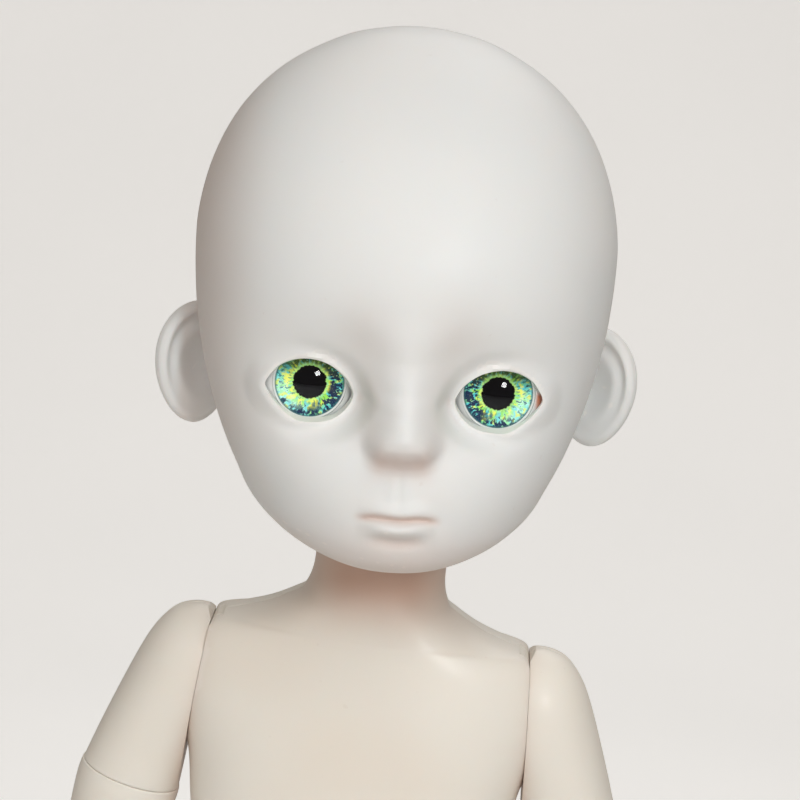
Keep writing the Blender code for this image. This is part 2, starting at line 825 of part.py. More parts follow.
def make_head():
    """Hollow head shell with ears, open eyes and a neck hole, and its removable back."""
    shell = loft("head_shell", head_rings(HEAD_COLUMNS, HEAD_ROWS))
    left_ear = ear()
    join(shell, mirrored(left_ear, "right ear"))
    join(shell, left_ear)
    inside = head_rings(
        CAVITY_COLUMNS, CAVITY_ROWS, HEAD_WALL_SHARE, HEAD_FACE_WALL_SHARE, with_face=False
    )
    cavity = loft("head cavity", inside)
    neck = Vector((0, SPINE_Y, NECK_LEVEL))
    floor = ball("floor", NECK_RADIUS + CLEARANCE + FLOOR_THICKNESS, WIDE_SIDES)
    cut(cavity, shift(floor, neck))
    cut(shell, cavity)
    cut(shell, shift(ball("neck seat", NECK_RADIUS + CLEARANCE, WIDE_SIDES), neck))
    cut(shell, shift(rod("neck hole", FLOOR_HOLE_RADIUS, 0, CUP_RADIUS + CUP_RADIUS), neck))
    for side in (LEFT, RIGHT):
        socket = aim(ball("socket", EYE_RADIUS + CLEARANCE, SOCKET_SIDES), "-Y")
        cut(shell, on_that_side(shift(socket, eye_center()), side))
        cut(shell, on_that_side(eye_opening(), side))
    cap = copy_of(shell, "head_cap")
    edge = Vector((0, CAP_SEAM_Y, NECK_LEVEL + HEAD_HEIGHT / 2))
    foot = CAP_FOOT - HEAD_HEIGHT / 2
    wide = OVERRUN
    behind = box("behind", (-wide, 0, foot), (wide, wide, wide))
    slant = Matrix.Translation(edge) @ Matrix.Rotation(CAP_SLANT, 4, "X")
    cut(shell, place(behind, slant))
    gap = CLEARANCE
    keep = box("cap room", (-wide, gap, foot + gap), (wide, wide, wide))
    combine(cap, place(keep, slant), "INTERSECT")
    return shell, cap


def make_eye():
    """Eyeball with a round recess in front, the iris disc in it and the clear dome over both."""
    recess = IRIS_RADIUS + CLEARANCE
    mouth = math.sqrt(EYE_RADIUS**2 - recess**2)
    profile = arc(EYE_RADIUS, -math.pi / 2, math.atan2(mouth, recess), EYE_STEPS)
    floor = mouth - IRIS_RECESS
    eyeball = turned("eyeball", [*profile, (recess, floor)])
    low = floor + CLEARANCE
    iris = turned("iris", ((IRIS_RADIUS, low), (IRIS_RADIUS, low + IRIS_THICKNESS)))
    base = low + IRIS_THICKNESS + CLEARANCE
    rim = IRIS_RADIUS
    top = CORNEA_BULGE
    dome_radius = (rim * rim + top * top) / (2 * top)
    start = math.asin((dome_radius - top) / dome_radius)
    center = base + CORNEA_EDGE + top - dome_radius
    crown = arc(dome_radius, start, math.pi / 2, DOME_STEPS, center)
    cornea = turned("cornea", [(rim, base), *crown])
    for part in (eyeball, iris, cornea):
        aim(part, "-Y")
        place(part, Matrix.Translation(eye_center()))
    return eyeball, iris, cornea


# Neck joint


def cup_profile(gap):
    low = -CUP_DEPTH - gap
    flange = CUP_RADIUS + CUP_FLANGE + gap
    top = CUP_FLANGE_HEIGHT - CUP_DEPTH + gap
    return [(flange, low), (flange, top), (CUP_RADIUS + gap, top)]


def make_neck_joint():
    """A cup that turns in the neck, and the ball, stem and saucer that hold the head down."""
    place_at = Matrix.Translation(Vector((0, SPINE_Y, NECK_LEVEL)))
    cup = turned("neck_swivel", [*cup_profile(0), (CUP_RADIUS, CUP_RISE)])
    cut(cup, ball("ball seat", NECK_BALL_RADIUS + CLEARANCE))
    mouth = math.tan(CUP_MOUTH_ANGLE)
    reach = CUP_RISE + CUP_RISE
    cut(cup, turned("mouth", ((0, 0), (reach * mouth, reach))))
    inner = NECK_RADIUS + CLEARANCE + FLOOR_THICKNESS + CLEARANCE
    outer = inner + SAUCER_THICKNESS
    edge = math.pi / 2 - SAUCER_ANGLE
    stem = math.acos(NECK_STEM_RADIUS / NECK_BALL_RADIUS)
    under = math.acos(NECK_STEM_RADIUS / inner)
    profile = arc(NECK_BALL_RADIUS, -math.pi / 2, stem, BALL_STEPS)
    profile += arc(inner, under, edge, SAUCER_STEPS)
    profile += arc(outer, edge, math.pi / 2, SAUCER_STEPS)
    anchor = turned("neck_anchor", profile, BALL_SIDES)
    return place(cup, place_at), place(anchor, place_at)


# Shoulder and hip joints


def peg(joint, gap):
    """Round peg with a head, out of the side plane, or the room for it when there is a gap."""
    neck_end = joint.peg_length - gap
    head_end = joint.peg_length + joint.head_length + gap
    start = -joint.disc_depth / 2
    radius = joint.peg_radius + gap
    head = joint.head_radius + gap
    profile = ((radius, start), (radius, neck_end), (head, neck_end), (head, head_end))
    return aim(turned("peg", profile, PEG_SIDES), "X")


def lid_plate(name, joint, gap):
    """Lever and knuckle in one plate across Y, or the room for them when there is a gap."""
    back = -joint.disc_depth * LEVER_DEPTH_SHARE - gap
    pivot = joint.pivot()
    radius = joint.knuckle_radius + gap
    meeting = math.tau - math.acos((back - pivot.x) / radius)
    outline = [(back, 0), (gap - SEAM, 0)]
    for step in range(KNUCKLE_STEPS + 1):
        angle = meeting * step / KNUCKLE_STEPS
        outline.append((pivot.x + radius * math.cos(angle), pivot.z + radius * math.sin(angle)))
    half = joint.knuckle_width + gap
    return loft(name, [[Vector((x, y, z)) for x, z in outline] for y in (-half, half)])


def make_hub(name, joint):
    """The lid: a knuckle on the corner, a lever down from it, the disc and the peg."""
    disc = aim(rod(name, joint.disc_radius, -joint.disc_depth, 0, DISC_SIDES), "X")
    join(disc, lid_plate("lever", joint, 0))
    join(disc, peg(joint, 0))
    return place(disc, joint.matrix())


def beyond_side(joint):
    """All that lies outside the flat side plane and the rounded corner above it."""
    pivot = joint.pivot()
    radius = joint.knuckle_radius
    wide = OVERRUN
    outline = [(0, -wide)]
    for step in range(CORNER_STEPS + 1):
        angle = math.pi / 2 * step / CORNER_STEPS
        outline.append((pivot.x + radius * math.cos(angle), pivot.z + radius * math.sin(angle)))
    outline += [(pivot.x, wide), (wide, wide), (wide, -wide)]
    return loft("beyond", [[Vector((x, y, z)) for x, z in outline] for y in (-wide, wide)])


def cut_lid_seat(trunk, joint, side):
    """Cuts the flat side plane, the rounded corner and the pocket for the hub."""
    depth = joint.disc_depth + CLEARANCE
    radius = joint.disc_radius + LID_ROOM
    disc = aim(rod("disc room", radius, -depth, depth, WIDE_SIDES), "X")
    plate = lid_plate("lever room", joint, CLEARANCE)
    for tool in (beyond_side(joint), disc, plate):
        cut(trunk, on_that_side(place(tool, joint.matrix()), side))


def cut_lid_side(limb, joint):
    """Cuts a limb flat against the side plane, eases its top edge and makes room for the peg."""
    wide = OVERRUN
    inside = box("inside", (-wide, -wide, -wide), (CLEARANCE, wide, wide))
    cut(limb, place(inside, joint.matrix()))
    edge = Vector((CLEARANCE, 0, joint.reach + joint.knuckle_radius / 2))
    eased = joint.matrix() @ Matrix.Translation(edge) @ Matrix.Rotation(TOP_EDGE_SLOPE, 4, "Y")
    cut(limb, place(box("eased edge", (-wide, -wide, 0), (0, wide, wide)), eased))
    cut(limb, place(peg(joint, CLEARANCE), joint.matrix()))
    return limb


# Trunk


def trunk_rings(rows, level, length, half_width, depth, power):
    rings = []
    for up, wide, front, back in rows:
        ring = rounded_ring(
            level + length * up,
            half_width * wide,
            depth * front,
            depth * back,
            power=power,
            count=TRUNK_COLUMNS,
        )
        rings.append(ring)
    return rings


def make_chest():
    """Chest and neck in two halves, hollow, with the neck bore and the waist barrel's seat."""
    at_spine = Matrix.Translation(Vector((0, SPINE_Y, 0)))
    length = NECK_LEVEL - BEND_LEVEL
    rings = trunk_rings(
        CHEST_SHARES, BEND_LEVEL, length, CHEST_HALF_WIDTH, CHEST_DEPTH, CHEST_POWER_SHARE
    )
    round_neck = TRUNK_COLUMNS
    neck_foot = NECK_LEVEL - NECK_RADIUS * NECK_FOOT_SHARE
    for level in (neck_foot, NECK_LEVEL):
        ring = rounded_ring(level, NECK_RADIUS, NECK_RADIUS, NECK_RADIUS, count=round_neck)
        rings.append(ring)
    for angle in NECK_DOME_ANGLES:
        rise = math.radians(angle)
        radius = NECK_RADIUS * math.cos(rise)
        level = NECK_LEVEL + NECK_RADIUS * math.sin(rise)
        rings.append(rounded_ring(level, radius, radius, radius, count=round_neck))
    chest = place(loft("chest", rings), at_spine)
    hollow = trunk_rings(
        CHEST_SHARES[3:8],
        BEND_LEVEL,
        length,
        CHEST_HALF_WIDTH * CHEST_WALL_SHARE,
        CHEST_DEPTH * CHEST_WALL_SHARE,
        CHEST_POWER_SHARE,
    )
    cut(chest, place(loft("chest hollow", hollow), at_spine))
    bore = [*cup_profile(CLEARANCE), (CUP_RADIUS + CLEARANCE, NECK_RADIUS + CUP_RADIUS)]
    at_neck = Matrix.Translation(Vector((0, SPINE_Y, NECK_LEVEL)))
    cut(chest, place(turned("neck bore", bore), at_neck))
    reach = ABDOMEN_HALF_WIDTH + CLEARANCE
    seat = aim(rod("barrel seat", BARREL_RADIUS + CLEARANCE, -reach, reach, WIDE_SIDES), "X")
    at_bend = Matrix.Translation(Vector((0, SPINE_Y, BEND_LEVEL)))
    cut(chest, place(seat, at_bend))
    for side in (LEFT, RIGHT):
        cut_lid_seat(chest, SHOULDER, side)
    front, back = halves(chest, "chest_front", "chest_back")
    cut_screw_holes(back, CHEST_SCREW_SPACING, SHOULDER_LEVEL, CHEST_DEPTH * CHEST_BACK_SHARE)
    return front, back


def cut_screw_holes(back, spacing, level, depth):
    """Two round recesses on the back of a trunk half."""
    for side in (LEFT, RIGHT):
        start = -depth - OVERRUN
        hole = aim(rod("screw hole", SCREW_HOLE_RADIUS, start, SCREW_HOLE_DEPTH - depth, PIN_SIDES), "-Y")
        spot = Vector((side * spacing / 2, SPINE_Y, level))
        cut(back, place(hole, Matrix.Translation(spot)))


def waist_peg(gap):
    neck_end = WAIST_PEG_LENGTH - gap
    end = WAIST_PEG_LENGTH + WAIST_HEAD_LENGTH + gap
    radius = WAIST_PEG_RADIUS + gap
    head = WAIST_HEAD_RADIUS + gap
    profile = ((head, -end), (head, -neck_end), (radius, -neck_end), (radius, CLEARANCE + CLEARANCE))
    at_waist = Matrix.Translation(Vector((0, SPINE_Y, WAIST_LEVEL)))
    return place(turned("waist peg", profile), at_waist)


def make_abdomen():
    """Barrel that the chest bends on, the waist below it and the peg it turns on."""
    rings = []
    for up, wide, deep in WAIST_SHARES:
        level = WAIST_LEVEL + WAIST_TO_BEND * up
        half = BARREL_RADIUS * deep
        ring = rounded_ring(
            level, ABDOMEN_HALF_WIDTH * wide, half, half, power=ABDOMEN_POWER_SHARE, count=TRUNK_COLUMNS
        )
        rings.append(ring)
    waist = place(loft("abdomen", rings), Matrix.Translation(Vector((0, SPINE_Y, 0))))
    reach = ABDOMEN_HALF_WIDTH
    barrel = soften(rod("barrel", BARREL_RADIUS, -reach, reach, WIDE_SIDES), BARREL_EDGE)
    at_bend = Matrix.Translation(Vector((0, SPINE_Y, BEND_LEVEL)))
    join(waist, place(aim(barrel, "X"), at_bend))
    join(waist, waist_peg(0))
    return waist


def make_pelvis():
    """Pelvis in two halves, with slanted flat sides for the legs and the waist bore."""
    length = WAIST_LEVEL - HIP_LEVEL + CROTCH_DROP
    rows = [(-drop, wide, front, back) for drop, wide, front, back in PELVIS_SHARES]
    rings = trunk_rings(
        rows, WAIST_LEVEL, length, PELVIS_HALF_WIDTH, PELVIS_DEPTH, PELVIS_POWER_SHARE
    )
    pelvis = place(loft("pelvis", rings), Matrix.Translation(Vector((0, SPINE_Y, 0))))
    for side in (LEFT, RIGHT):
        cut_lid_seat(pelvis, HIP, side)
    cut(pelvis, waist_peg(CLEARANCE))
    front, back = halves(pelvis, "pelvis_front", "pelvis_back")
    level = WAIST_LEVEL - PELVIS_SCREW_DROP
    cut_screw_holes(back, PELVIS_SCREW_SPACING, level, PELVIS_DEPTH * PELVIS_BACK_SHARE)
    return front, back


# Limbs


def limb(name, rows, low, high, width, depth, power=LIMB_POWER_SHARE):
    """Skins a limb between two levels of its own frame from a table of shares."""
    rings = []
    for up, middle, wide, front, back in rows:
        ring = rounded_ring(
            low + (high - low) * up,
            width * wide,
            depth * front,
            depth * back,
            middle * width,
            power,
        )
        rings.append(ring)
    return loft(name, rings)


def headed_peg(radius, length, head_radius, head_length, gap):
    """Upright peg with a head on its upper end, from level zero of its frame."""
    neck_end = length - gap
    end = length + head_length + gap
    profile = (
        (radius + gap, -CLEARANCE - CLEARANCE),
        (radius + gap, neck_end),
        (head_radius + gap, neck_end),
        (head_radius + gap, end),
    )
    return turned("peg", profile, PEG_SIDES)


def add_fork(piece, radius, half_width, link_radius, link_width, pin_radius, downward):
    """Rounds the end of a limb on its pin at the origin and opens a slot for the link."""
    end = soften(rod("end", radius, -half_width, half_width), radius * LIMB_END_SHARE)
    join(piece, aim(end, "X"))
    slot = link_width + CLEARANCE
    floor = link_radius + CLEARANCE
    low, high = (-OVERRUN, floor) if downward else (-floor, OVERRUN)
    cut(piece, box("slot", (-slot, -OVERRUN, low), (slot, OVERRUN, high)))
    reach = (slot + half_width) / 2
    join(piece, aim(rod("pin", pin_radius, -reach, reach, PIN_SIDES), "X"))
    return piece


def make_link(name, span, radius, width, pin_radius):
    """Flat link with a bore at each end, hung from its upper pin at the origin."""
    outline = []
    for step in range(LINK_STEPS + 1):
        angle = math.pi * step / LINK_STEPS
        outline.append((radius * math.cos(angle), radius * math.sin(angle)))
    for step in range(LINK_STEPS + 1):
        angle = math.pi + math.pi * step / LINK_STEPS
        outline.append((radius * math.cos(angle), radius * math.sin(angle) - span))
    rings = [[Vector((x, y, z)) for y, z in outline] for x in (-width, width)]
    link = loft(name, rings)
    for level in (0, -span):
        bore = aim(rod("bore", pin_radius + CLEARANCE, -OVERRUN, OVERRUN, PIN_SIDES), "X")
        cut(link, shift(bore, Vector((0, 0, level))))
    return link


def make_ball_peg(name, radius, stem_radius, stem_length):
    """Ball at the origin with a stem up into the limb above."""
    start = -math.pi / 2
    profile = arc(radius, start, math.acos(stem_radius / radius), PEG_BALL_STEPS)
    profile.append((stem_radius, stem_length))
    return turned(name, profile, PEG_SIDES)


def arm_matrix(distance):
    """Frame on the arm's axis, this far down from the shoulder."""
    out = Vector((math.cos(SHOULDER_LEAN), 0, -math.sin(SHOULDER_LEAN)))
    start = SHOULDER.origin() + out * ARM_OFFSET
    lean = Matrix.Rotation(ARM_LEAN, 4, "Y")
    down = lean @ Vector((0, 0, -distance))
    return Matrix.Translation(start + down) @ lean


def make_upper_arm():
    """Shoulder dome and sleeve in two halves, and the turning piece below with the fork."""
    shell = limb(
        "sleeve",
        SLEEVE_SHARES,
        CLEARANCE - SLEEVE_LENGTH,
        SLEEVE_DOME,
        SLEEVE_WIDTH,
        SLEEVE_DEPTH,
    )
    turn_peg = (ARM_PEG_RADIUS, ARM_PEG_LENGTH, ARM_HEAD_RADIUS, ARM_HEAD_LENGTH)
    room = headed_peg(*turn_peg, CLEARANCE)
    cut(shell, shift(room, Vector((0, 0, -SLEEVE_LENGTH))))
    place(shell, arm_matrix(0))
    cut_lid_side(shell, SHOULDER)
    front, back = halves(shell, "upper_arm_front", "upper_arm_back")
    below = UPPER_ARM_LENGTH - SLEEVE_LENGTH
    bicep = limb("bicep", BICEP_SHARES, 0, below, BICEP_WIDTH, BICEP_WIDTH)
    join(bicep, shift(headed_peg(*turn_peg, 0), Vector((0, 0, below))))
    add_fork(
        bicep,
        ELBOW_RADIUS,
        ELBOW_HALF_WIDTH,
        ELBOW_LINK_RADIUS,
        ELBOW_LINK_WIDTH,
        ELBOW_PIN_RADIUS,
        downward=True,
    )
    place(bicep, arm_matrix(UPPER_ARM_LENGTH))
    return front, back, bicep


def make_elbow():
    link = make_link(
        "elbow_link", ELBOW_SPAN, ELBOW_LINK_RADIUS, ELBOW_LINK_WIDTH, ELBOW_PIN_RADIUS
    )
    return place(link, arm_matrix(UPPER_ARM_LENGTH))


def make_forearm():
    """Forearm with the elbow fork above and the bore for the wrist stem below."""
    end = WRIST_RIM + WRIST_GAP - FOREARM_LENGTH
    piece = limb("forearm", FOREARM_SHARES, end, 0, FOREARM_WIDTH, FOREARM_WIDTH)
    add_fork(
        piece,
        ELBOW_RADIUS,
        ELBOW_HALF_WIDTH,
        ELBOW_LINK_RADIUS,
        ELBOW_LINK_WIDTH,
        ELBOW_PIN_RADIUS,
        downward=False,
    )
    cut_stem_bore(piece, FOREARM_LENGTH, WRIST_STEM_RADIUS, WRIST_STEM_LENGTH)
    cut(piece, shift(ball("seat", WRIST_BALL_RADIUS + CLEARANCE), Vector((0, 0, -FOREARM_LENGTH))))
    return place(piece, arm_matrix(UPPER_ARM_LENGTH + ELBOW_SPAN))


def cut_stem_bore(piece, distance, radius, length):
    """Blind bore for a ball's stem, up into a limb from the ball's centre below it."""
    bore = rod("bore", radius + CLEARANCE, 0, length + CLEARANCE, PIN_SIDES)
    return cut(piece, shift(bore, Vector((0, 0, -distance))))


def wrist_distance():
    return UPPER_ARM_LENGTH + ELBOW_SPAN + FOREARM_LENGTH


def make_hand():
    """Palm with four fingers and a thumb, and the socket for the wrist ball."""
    hand = limb(
        "hand",
        PALM_SHARES,
        WRIST_RIM - PALM_LENGTH,
        WRIST_RIM,
        PALM_HALF_THICKNESS,
        PALM_HALF_BREADTH,
        PALM_POWER_SHARE,
    )
    root = -PALM_LENGTH + FINGER_RADIUS
    for across, length in FINGER_SHARES:
        finger = make_finger(FINGER_RADIUS, FINGER_LENGTH * length + FINGER_RADIUS)
        join(hand, shift(finger, Vector((0, across * FINGER_SPACING, root))))
    thumb = make_finger(THUMB_RADIUS, THUMB_LENGTH)
    thumb.data.transform(Matrix.Rotation(THUMB_TURN, 4, "X"))
    across = -PALM_HALF_BREADTH * THUMB_ACROSS_SHARE
    spot = Vector((0, across, -PALM_LENGTH * THUMB_DOWN_SHARE))
    join(hand, shift(thumb, spot))
    cut(hand, ball("socket", WRIST_BALL_RADIUS + CLEARANCE))
    return place(hand, arm_matrix(wrist_distance()))


def make_finger(radius, length):
    """Tapered finger pointing down from the origin, with a round tip."""
    rings = []
    for down, share in FINGER_TIP_SHARES:
        half = radius * share
        rings.append(rounded_ring(-length * down, half, half, half, count=PIN_SIDES))
    return loft("finger", rings)


def make_wrist():
    piece = make_ball_peg("wrist_ball", WRIST_BALL_RADIUS, WRIST_STEM_RADIUS, WRIST_STEM_LENGTH)
    return place(piece, arm_matrix(wrist_distance()))


def leg_matrix(level):
    return Matrix.Translation(Vector((THIGH_AXIS, SPINE_Y, level)))


def make_thigh():
    """Hip dome and sleeve in two halves, and the turning piece below with the knee fork."""
    base = HIP_LEVEL - THIGH_SLEEVE
    shell = limb(
        "thigh",
        THIGH_SHARES,
        CLEARANCE,
        THIGH_SLEEVE + THIGH_DOME,
        THIGH_WIDTH,
        THIGH_DEPTH,
    )
    turn_peg = (THIGH_PEG_RADIUS, THIGH_PEG_LENGTH, THIGH_HEAD_RADIUS, THIGH_HEAD_LENGTH)
    cut(shell, headed_peg(*turn_peg, CLEARANCE))
    place(shell, leg_matrix(base))
    cut_lid_side(shell, HIP)
    front, back = halves(shell, "thigh_front", "thigh_back")
    below = THIGH_LENGTH - THIGH_SLEEVE
    lower = limb("lower_thigh", LOWER_THIGH_SHARES, 0, below, THIGH_WIDTH, THIGH_DEPTH)
    join(lower, shift(headed_peg(*turn_peg, 0), Vector((0, 0, below))))
    add_fork(
        lower,
        KNEE_RADIUS,
        KNEE_HALF_WIDTH,
        KNEE_LINK_RADIUS,
        KNEE_LINK_WIDTH,
        KNEE_PIN_RADIUS,
        downward=True,
    )
    place(lower, leg_matrix(KNEE_LEVEL + KNEE_SPAN))
    return front, back, lower


def make_knee():
    link = make_link("knee_link", KNEE_SPAN, KNEE_LINK_RADIUS, KNEE_LINK_WIDTH, KNEE_PIN_RADIUS)
    return place(link, leg_matrix(KNEE_LEVEL + KNEE_SPAN))


def make_shin():
    """Shin and calf with the knee fork above and the bore for the ankle stem below."""
    end = ANKLE_RIM + ANKLE_GAP - SHIN_LENGTH
    piece = limb("shin", SHIN_SHARES, end, 0, SHIN_WIDTH, SHIN_WIDTH)
    add_fork(
        piece,
        KNEE_RADIUS,
        KNEE_HALF_WIDTH,
        KNEE_LINK_RADIUS,
        KNEE_LINK_WIDTH,
        KNEE_PIN_RADIUS,
        downward=False,
    )
    cut_stem_bore(piece, SHIN_LENGTH, ANKLE_STEM_RADIUS, ANKLE_STEM_LENGTH)
    cut(piece, shift(ball("seat", ANKLE_BALL_RADIUS + CLEARANCE), Vector((0, 0, -SHIN_LENGTH))))
    return place(piece, leg_matrix(KNEE_LEVEL))


def make_ankle():
    piece = make_ball_peg("ankle_ball", ANKLE_BALL_RADIUS, ANKLE_STEM_RADIUS, ANKLE_STEM_LENGTH)
    return place(piece, leg_matrix(ANKLE_HEIGHT))


def make_foot():
    """Flat soled foot with the socket for the ankle ball."""
    rings = []
    height = ANKLE_HEIGHT + ANKLE_RIM
    for up, wide, front, back in FOOT_SHARES:
        ring = rounded_ring(
            height * up - ANKLE_HEIGHT,
            FOOT_HALF_WIDTH * wide,
            FOOT_FRONT * front,
            FOOT_BACK * back,
            power=FOOT_POWER_SHARE,
            count=FOOT_COLUMNS,
        )
        rings.append(ring)
    foot = loft("foot", rings)
    cut(foot, ball("socket", ANKLE_BALL_RADIUS + CLEARANCE))
    return place(foot, leg_matrix(ANKLE_HEIGHT))


# Assembly


def joint_empty(name, spot, parent=None):
    """An empty on a joint's axis, which carries the pieces that turn there."""
    empty = bpy.data.objects.new(name, None)
    bpy.context.scene.collection.objects.link(empty)
    empty.empty_display_size = EMPTY_SIZE
    empty.matrix_basis = Matrix.Translation(spot)
    if parent:
        empty.parent = parent
        empty.matrix_parent_inverse = parent_inverse(parent)
    return empty


def world_of(thing):
    """World matrix of an empty or a piece, from its own chain of parents."""
    if thing.parent is None:
        return thing.matrix_basis.copy()
    return world_of(thing.parent) @ thing.matrix_parent_inverse @ thing.matrix_basis


def parent_inverse(parent):
    return world_of(parent).inverted()


def carry(empty, pieces, material):
    """Hangs pieces on an empty where they stand, and gives them their material."""
    for piece in pieces:
        piece.data.materials.clear()
        piece.data.materials.append(material)
        piece.data.shade_smooth()
        piece.data.set_sharp_from_angle(angle=math.radians(35))
        piece.parent = empty
        piece.matrix_parent_inverse = parent_inverse(empty)


def both_sides(piece, stem):
    """Names a left piece and makes its right hand twin."""
    piece.name = stem + "_left"
    return {LEFT: piece, RIGHT: mirrored(piece, stem + "_right")}


def on_side(spot, side):
    return Vector((spot.x * side, spot.y, spot.z))


def build_trunk(materials):
    spine = Vector((0, SPINE_Y, 0))
    root = joint_empty("pelvis", spine + Vector((0, 0, HIP_LEVEL)))
    carry(root, make_pelvis(), materials["body"])
    waist = joint_empty("waist_twist", spine + Vector((0, 0, WAIST_LEVEL)), root)
    carry(waist, [make_abdomen()], materials["body"])
    bend = joint_empty("waist_bend", spine + Vector((0, 0, BEND_LEVEL)), waist)
    carry(bend, make_chest(), materials["body"])
    return root, bend


def build_head(chest, materials):
    center = Vector((0, SPINE_Y, NECK_LEVEL))
    cup, anchor = make_neck_joint()
    turn = joint_empty("head_turn", center, chest)
    carry(turn, [cup], materials["joint"])
    nod = joint_empty("head_nod", center, turn)
    carry(nod, [anchor], materials["joint"])
    tilt = joint_empty("head_tilt", center, nod)
    shell, cap = make_head()
    carry(tilt, [shell], materials["head"])
    lift = joint_empty("cap_slide", center + Vector((0, CAP_SEAM_Y, HEAD_HEIGHT / 2)), tilt)
    carry(lift, [cap], materials["head"])
    for piece, stem in zip(make_eye(), ("eyeball", "iris", "cornea")):
        slot = "eye" if stem == "eyeball" else stem
        carry(tilt, both_sides(piece, stem).values(), materials[slot])
    tilt.rotation_euler = (0, HEAD_TILT, HEAD_TURN)
    tilt.location = center


def build_arms(chest, materials):
    front, back, bicep = make_upper_arm()
    pieces = {
        "shoulder_hub": both_sides(make_hub("shoulder_hub", SHOULDER), "shoulder_hub"),
        "front": both_sides(front, "upper_arm_front"),
        "back": both_sides(back, "upper_arm_back"),
        "bicep": both_sides(bicep, "bicep"),
        "elbow_link": both_sides(make_elbow(), "elbow_link"),
        "forearm": both_sides(make_forearm(), "forearm"),
        "wrist_ball": both_sides(make_wrist(), "wrist_ball"),
        "hand": both_sides(make_hand(), "hand"),
    }
    body = materials["body"]
    link = materials["joint"]
    lid = SHOULDER.matrix() @ SHOULDER.pivot()
    elbow = arm_matrix(UPPER_ARM_LENGTH).to_translation()
    elbow_low = arm_matrix(UPPER_ARM_LENGTH + ELBOW_SPAN).to_translation()
    wrist = arm_matrix(wrist_distance()).to_translation()
    for side, word in ((LEFT, "left"), (RIGHT, "right")):
        steps = (
            ("arm_raise", lid, ("shoulder_hub",), link),
            ("arm_swing", SHOULDER.origin(), ("front", "back"), body),
            ("arm_twist", arm_matrix(SLEEVE_LENGTH).to_translation(), ("bicep",), body),
            ("elbow_upper", elbow, ("elbow_link",), link),
            ("elbow_lower", elbow_low, ("forearm",), body),
            ("wrist_turn", wrist, ("wrist_ball",), link),
            ("wrist_bend", wrist, ("hand",), body),
        )
        hang_chain(chest, steps, pieces, side, word)


def build_legs(pelvis, materials):
    front, back, lower = make_thigh()
    pieces = {
        "hip_hub": both_sides(make_hub("hip_hub", HIP), "hip_hub"),
        "front": both_sides(front, "thigh_front"),
        "back": both_sides(back, "thigh_back"),
        "lower": both_sides(lower, "lower_thigh"),
        "knee_link": both_sides(make_knee(), "knee_link"),
        "shin": both_sides(make_shin(), "shin"),
        "ankle_ball": both_sides(make_ankle(), "ankle_ball"),
        "foot": both_sides(make_foot(), "foot"),
    }
    body = materials["body"]
    link = materials["joint"]
    lid = HIP.matrix() @ HIP.pivot()
    knee = leg_matrix(KNEE_LEVEL + KNEE_SPAN).to_translation()
    knee_low = leg_matrix(KNEE_LEVEL).to_translation()
    ankle = leg_matrix(ANKLE_HEIGHT).to_translation()
    cut_level = leg_matrix(HIP_LEVEL - THIGH_SLEEVE).to_translation()
    for side, word in ((LEFT, "left"), (RIGHT, "right")):
        steps = (
            ("leg_spread", lid, ("hip_hub",), link),
            ("leg_swing", HIP.origin(), ("front", "back"), body),
            ("leg_twist", cut_level, ("lower",), body),
            ("knee_upper", knee, ("knee_link",), link),
            ("knee_lower", knee_low, ("shin",), body),
            ("ankle_turn", ankle, ("ankle_ball",), link),
            ("ankle_bend", ankle, ("foot",), body),
        )
        hang_chain(pelvis, steps, pieces, side, word)


def hang_chain(parent, steps, pieces, side, word):
    """Hangs each step's pieces on an empty that the next step's empty hangs on."""
    for name, spot, stems, material in steps:
        parent = joint_empty(f"{name}_{word}", on_side(spot, side), parent)
        carry(parent, [pieces[stem][side] for stem in stems], material)


def main():
    for thing in list(bpy.data.objects):
        bpy.data.objects.remove(thing)
    materials = make_materials()
    pelvis, chest = build_trunk(materials)
    build_head(chest, materials)
    build_arms(chest, materials)
    build_legs(pelvis, materials)
    bpy.context.view_layer.update()


main()
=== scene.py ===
"""Fine surfaces, materials, floor, lamps and camera for a ball jointed doll on its fixed frame."""

import bisect
import json
import math
from dataclasses import dataclass

import bmesh
import bpy
from mathutils import Matrix, Vector

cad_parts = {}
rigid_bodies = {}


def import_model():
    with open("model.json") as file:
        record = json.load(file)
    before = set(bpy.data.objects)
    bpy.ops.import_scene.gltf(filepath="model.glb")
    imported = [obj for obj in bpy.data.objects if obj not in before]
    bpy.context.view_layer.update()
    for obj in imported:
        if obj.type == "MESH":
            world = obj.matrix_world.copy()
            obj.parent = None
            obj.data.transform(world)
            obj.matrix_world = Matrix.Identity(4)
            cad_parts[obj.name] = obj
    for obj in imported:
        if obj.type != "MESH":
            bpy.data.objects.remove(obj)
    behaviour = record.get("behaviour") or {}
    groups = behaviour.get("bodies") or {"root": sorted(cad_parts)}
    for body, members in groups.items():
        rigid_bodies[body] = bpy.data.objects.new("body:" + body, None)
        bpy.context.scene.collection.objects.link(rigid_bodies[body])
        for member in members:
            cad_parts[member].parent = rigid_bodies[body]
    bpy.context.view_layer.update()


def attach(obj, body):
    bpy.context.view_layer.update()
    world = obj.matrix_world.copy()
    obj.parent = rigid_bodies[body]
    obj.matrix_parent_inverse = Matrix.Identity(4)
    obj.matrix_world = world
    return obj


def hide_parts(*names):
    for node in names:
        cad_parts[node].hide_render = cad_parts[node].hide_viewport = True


for thing in list(bpy.data.objects):
    bpy.data.objects.remove(thing)
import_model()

# Lengths along the figure, from the soles to the crown
ANKLE_HEIGHT = 0.014
SHIN_LENGTH = 0.0548
KNEE_SPAN = 0.0134
THIGH_LENGTH = 0.0548
HIP_TO_WAIST = 0.021
WAIST_TO_BEND = 0.010
BEND_TO_SHOULDER = 0.035
SHOULDER_TO_NECK = 0.024
HEAD_HEIGHT = 0.073

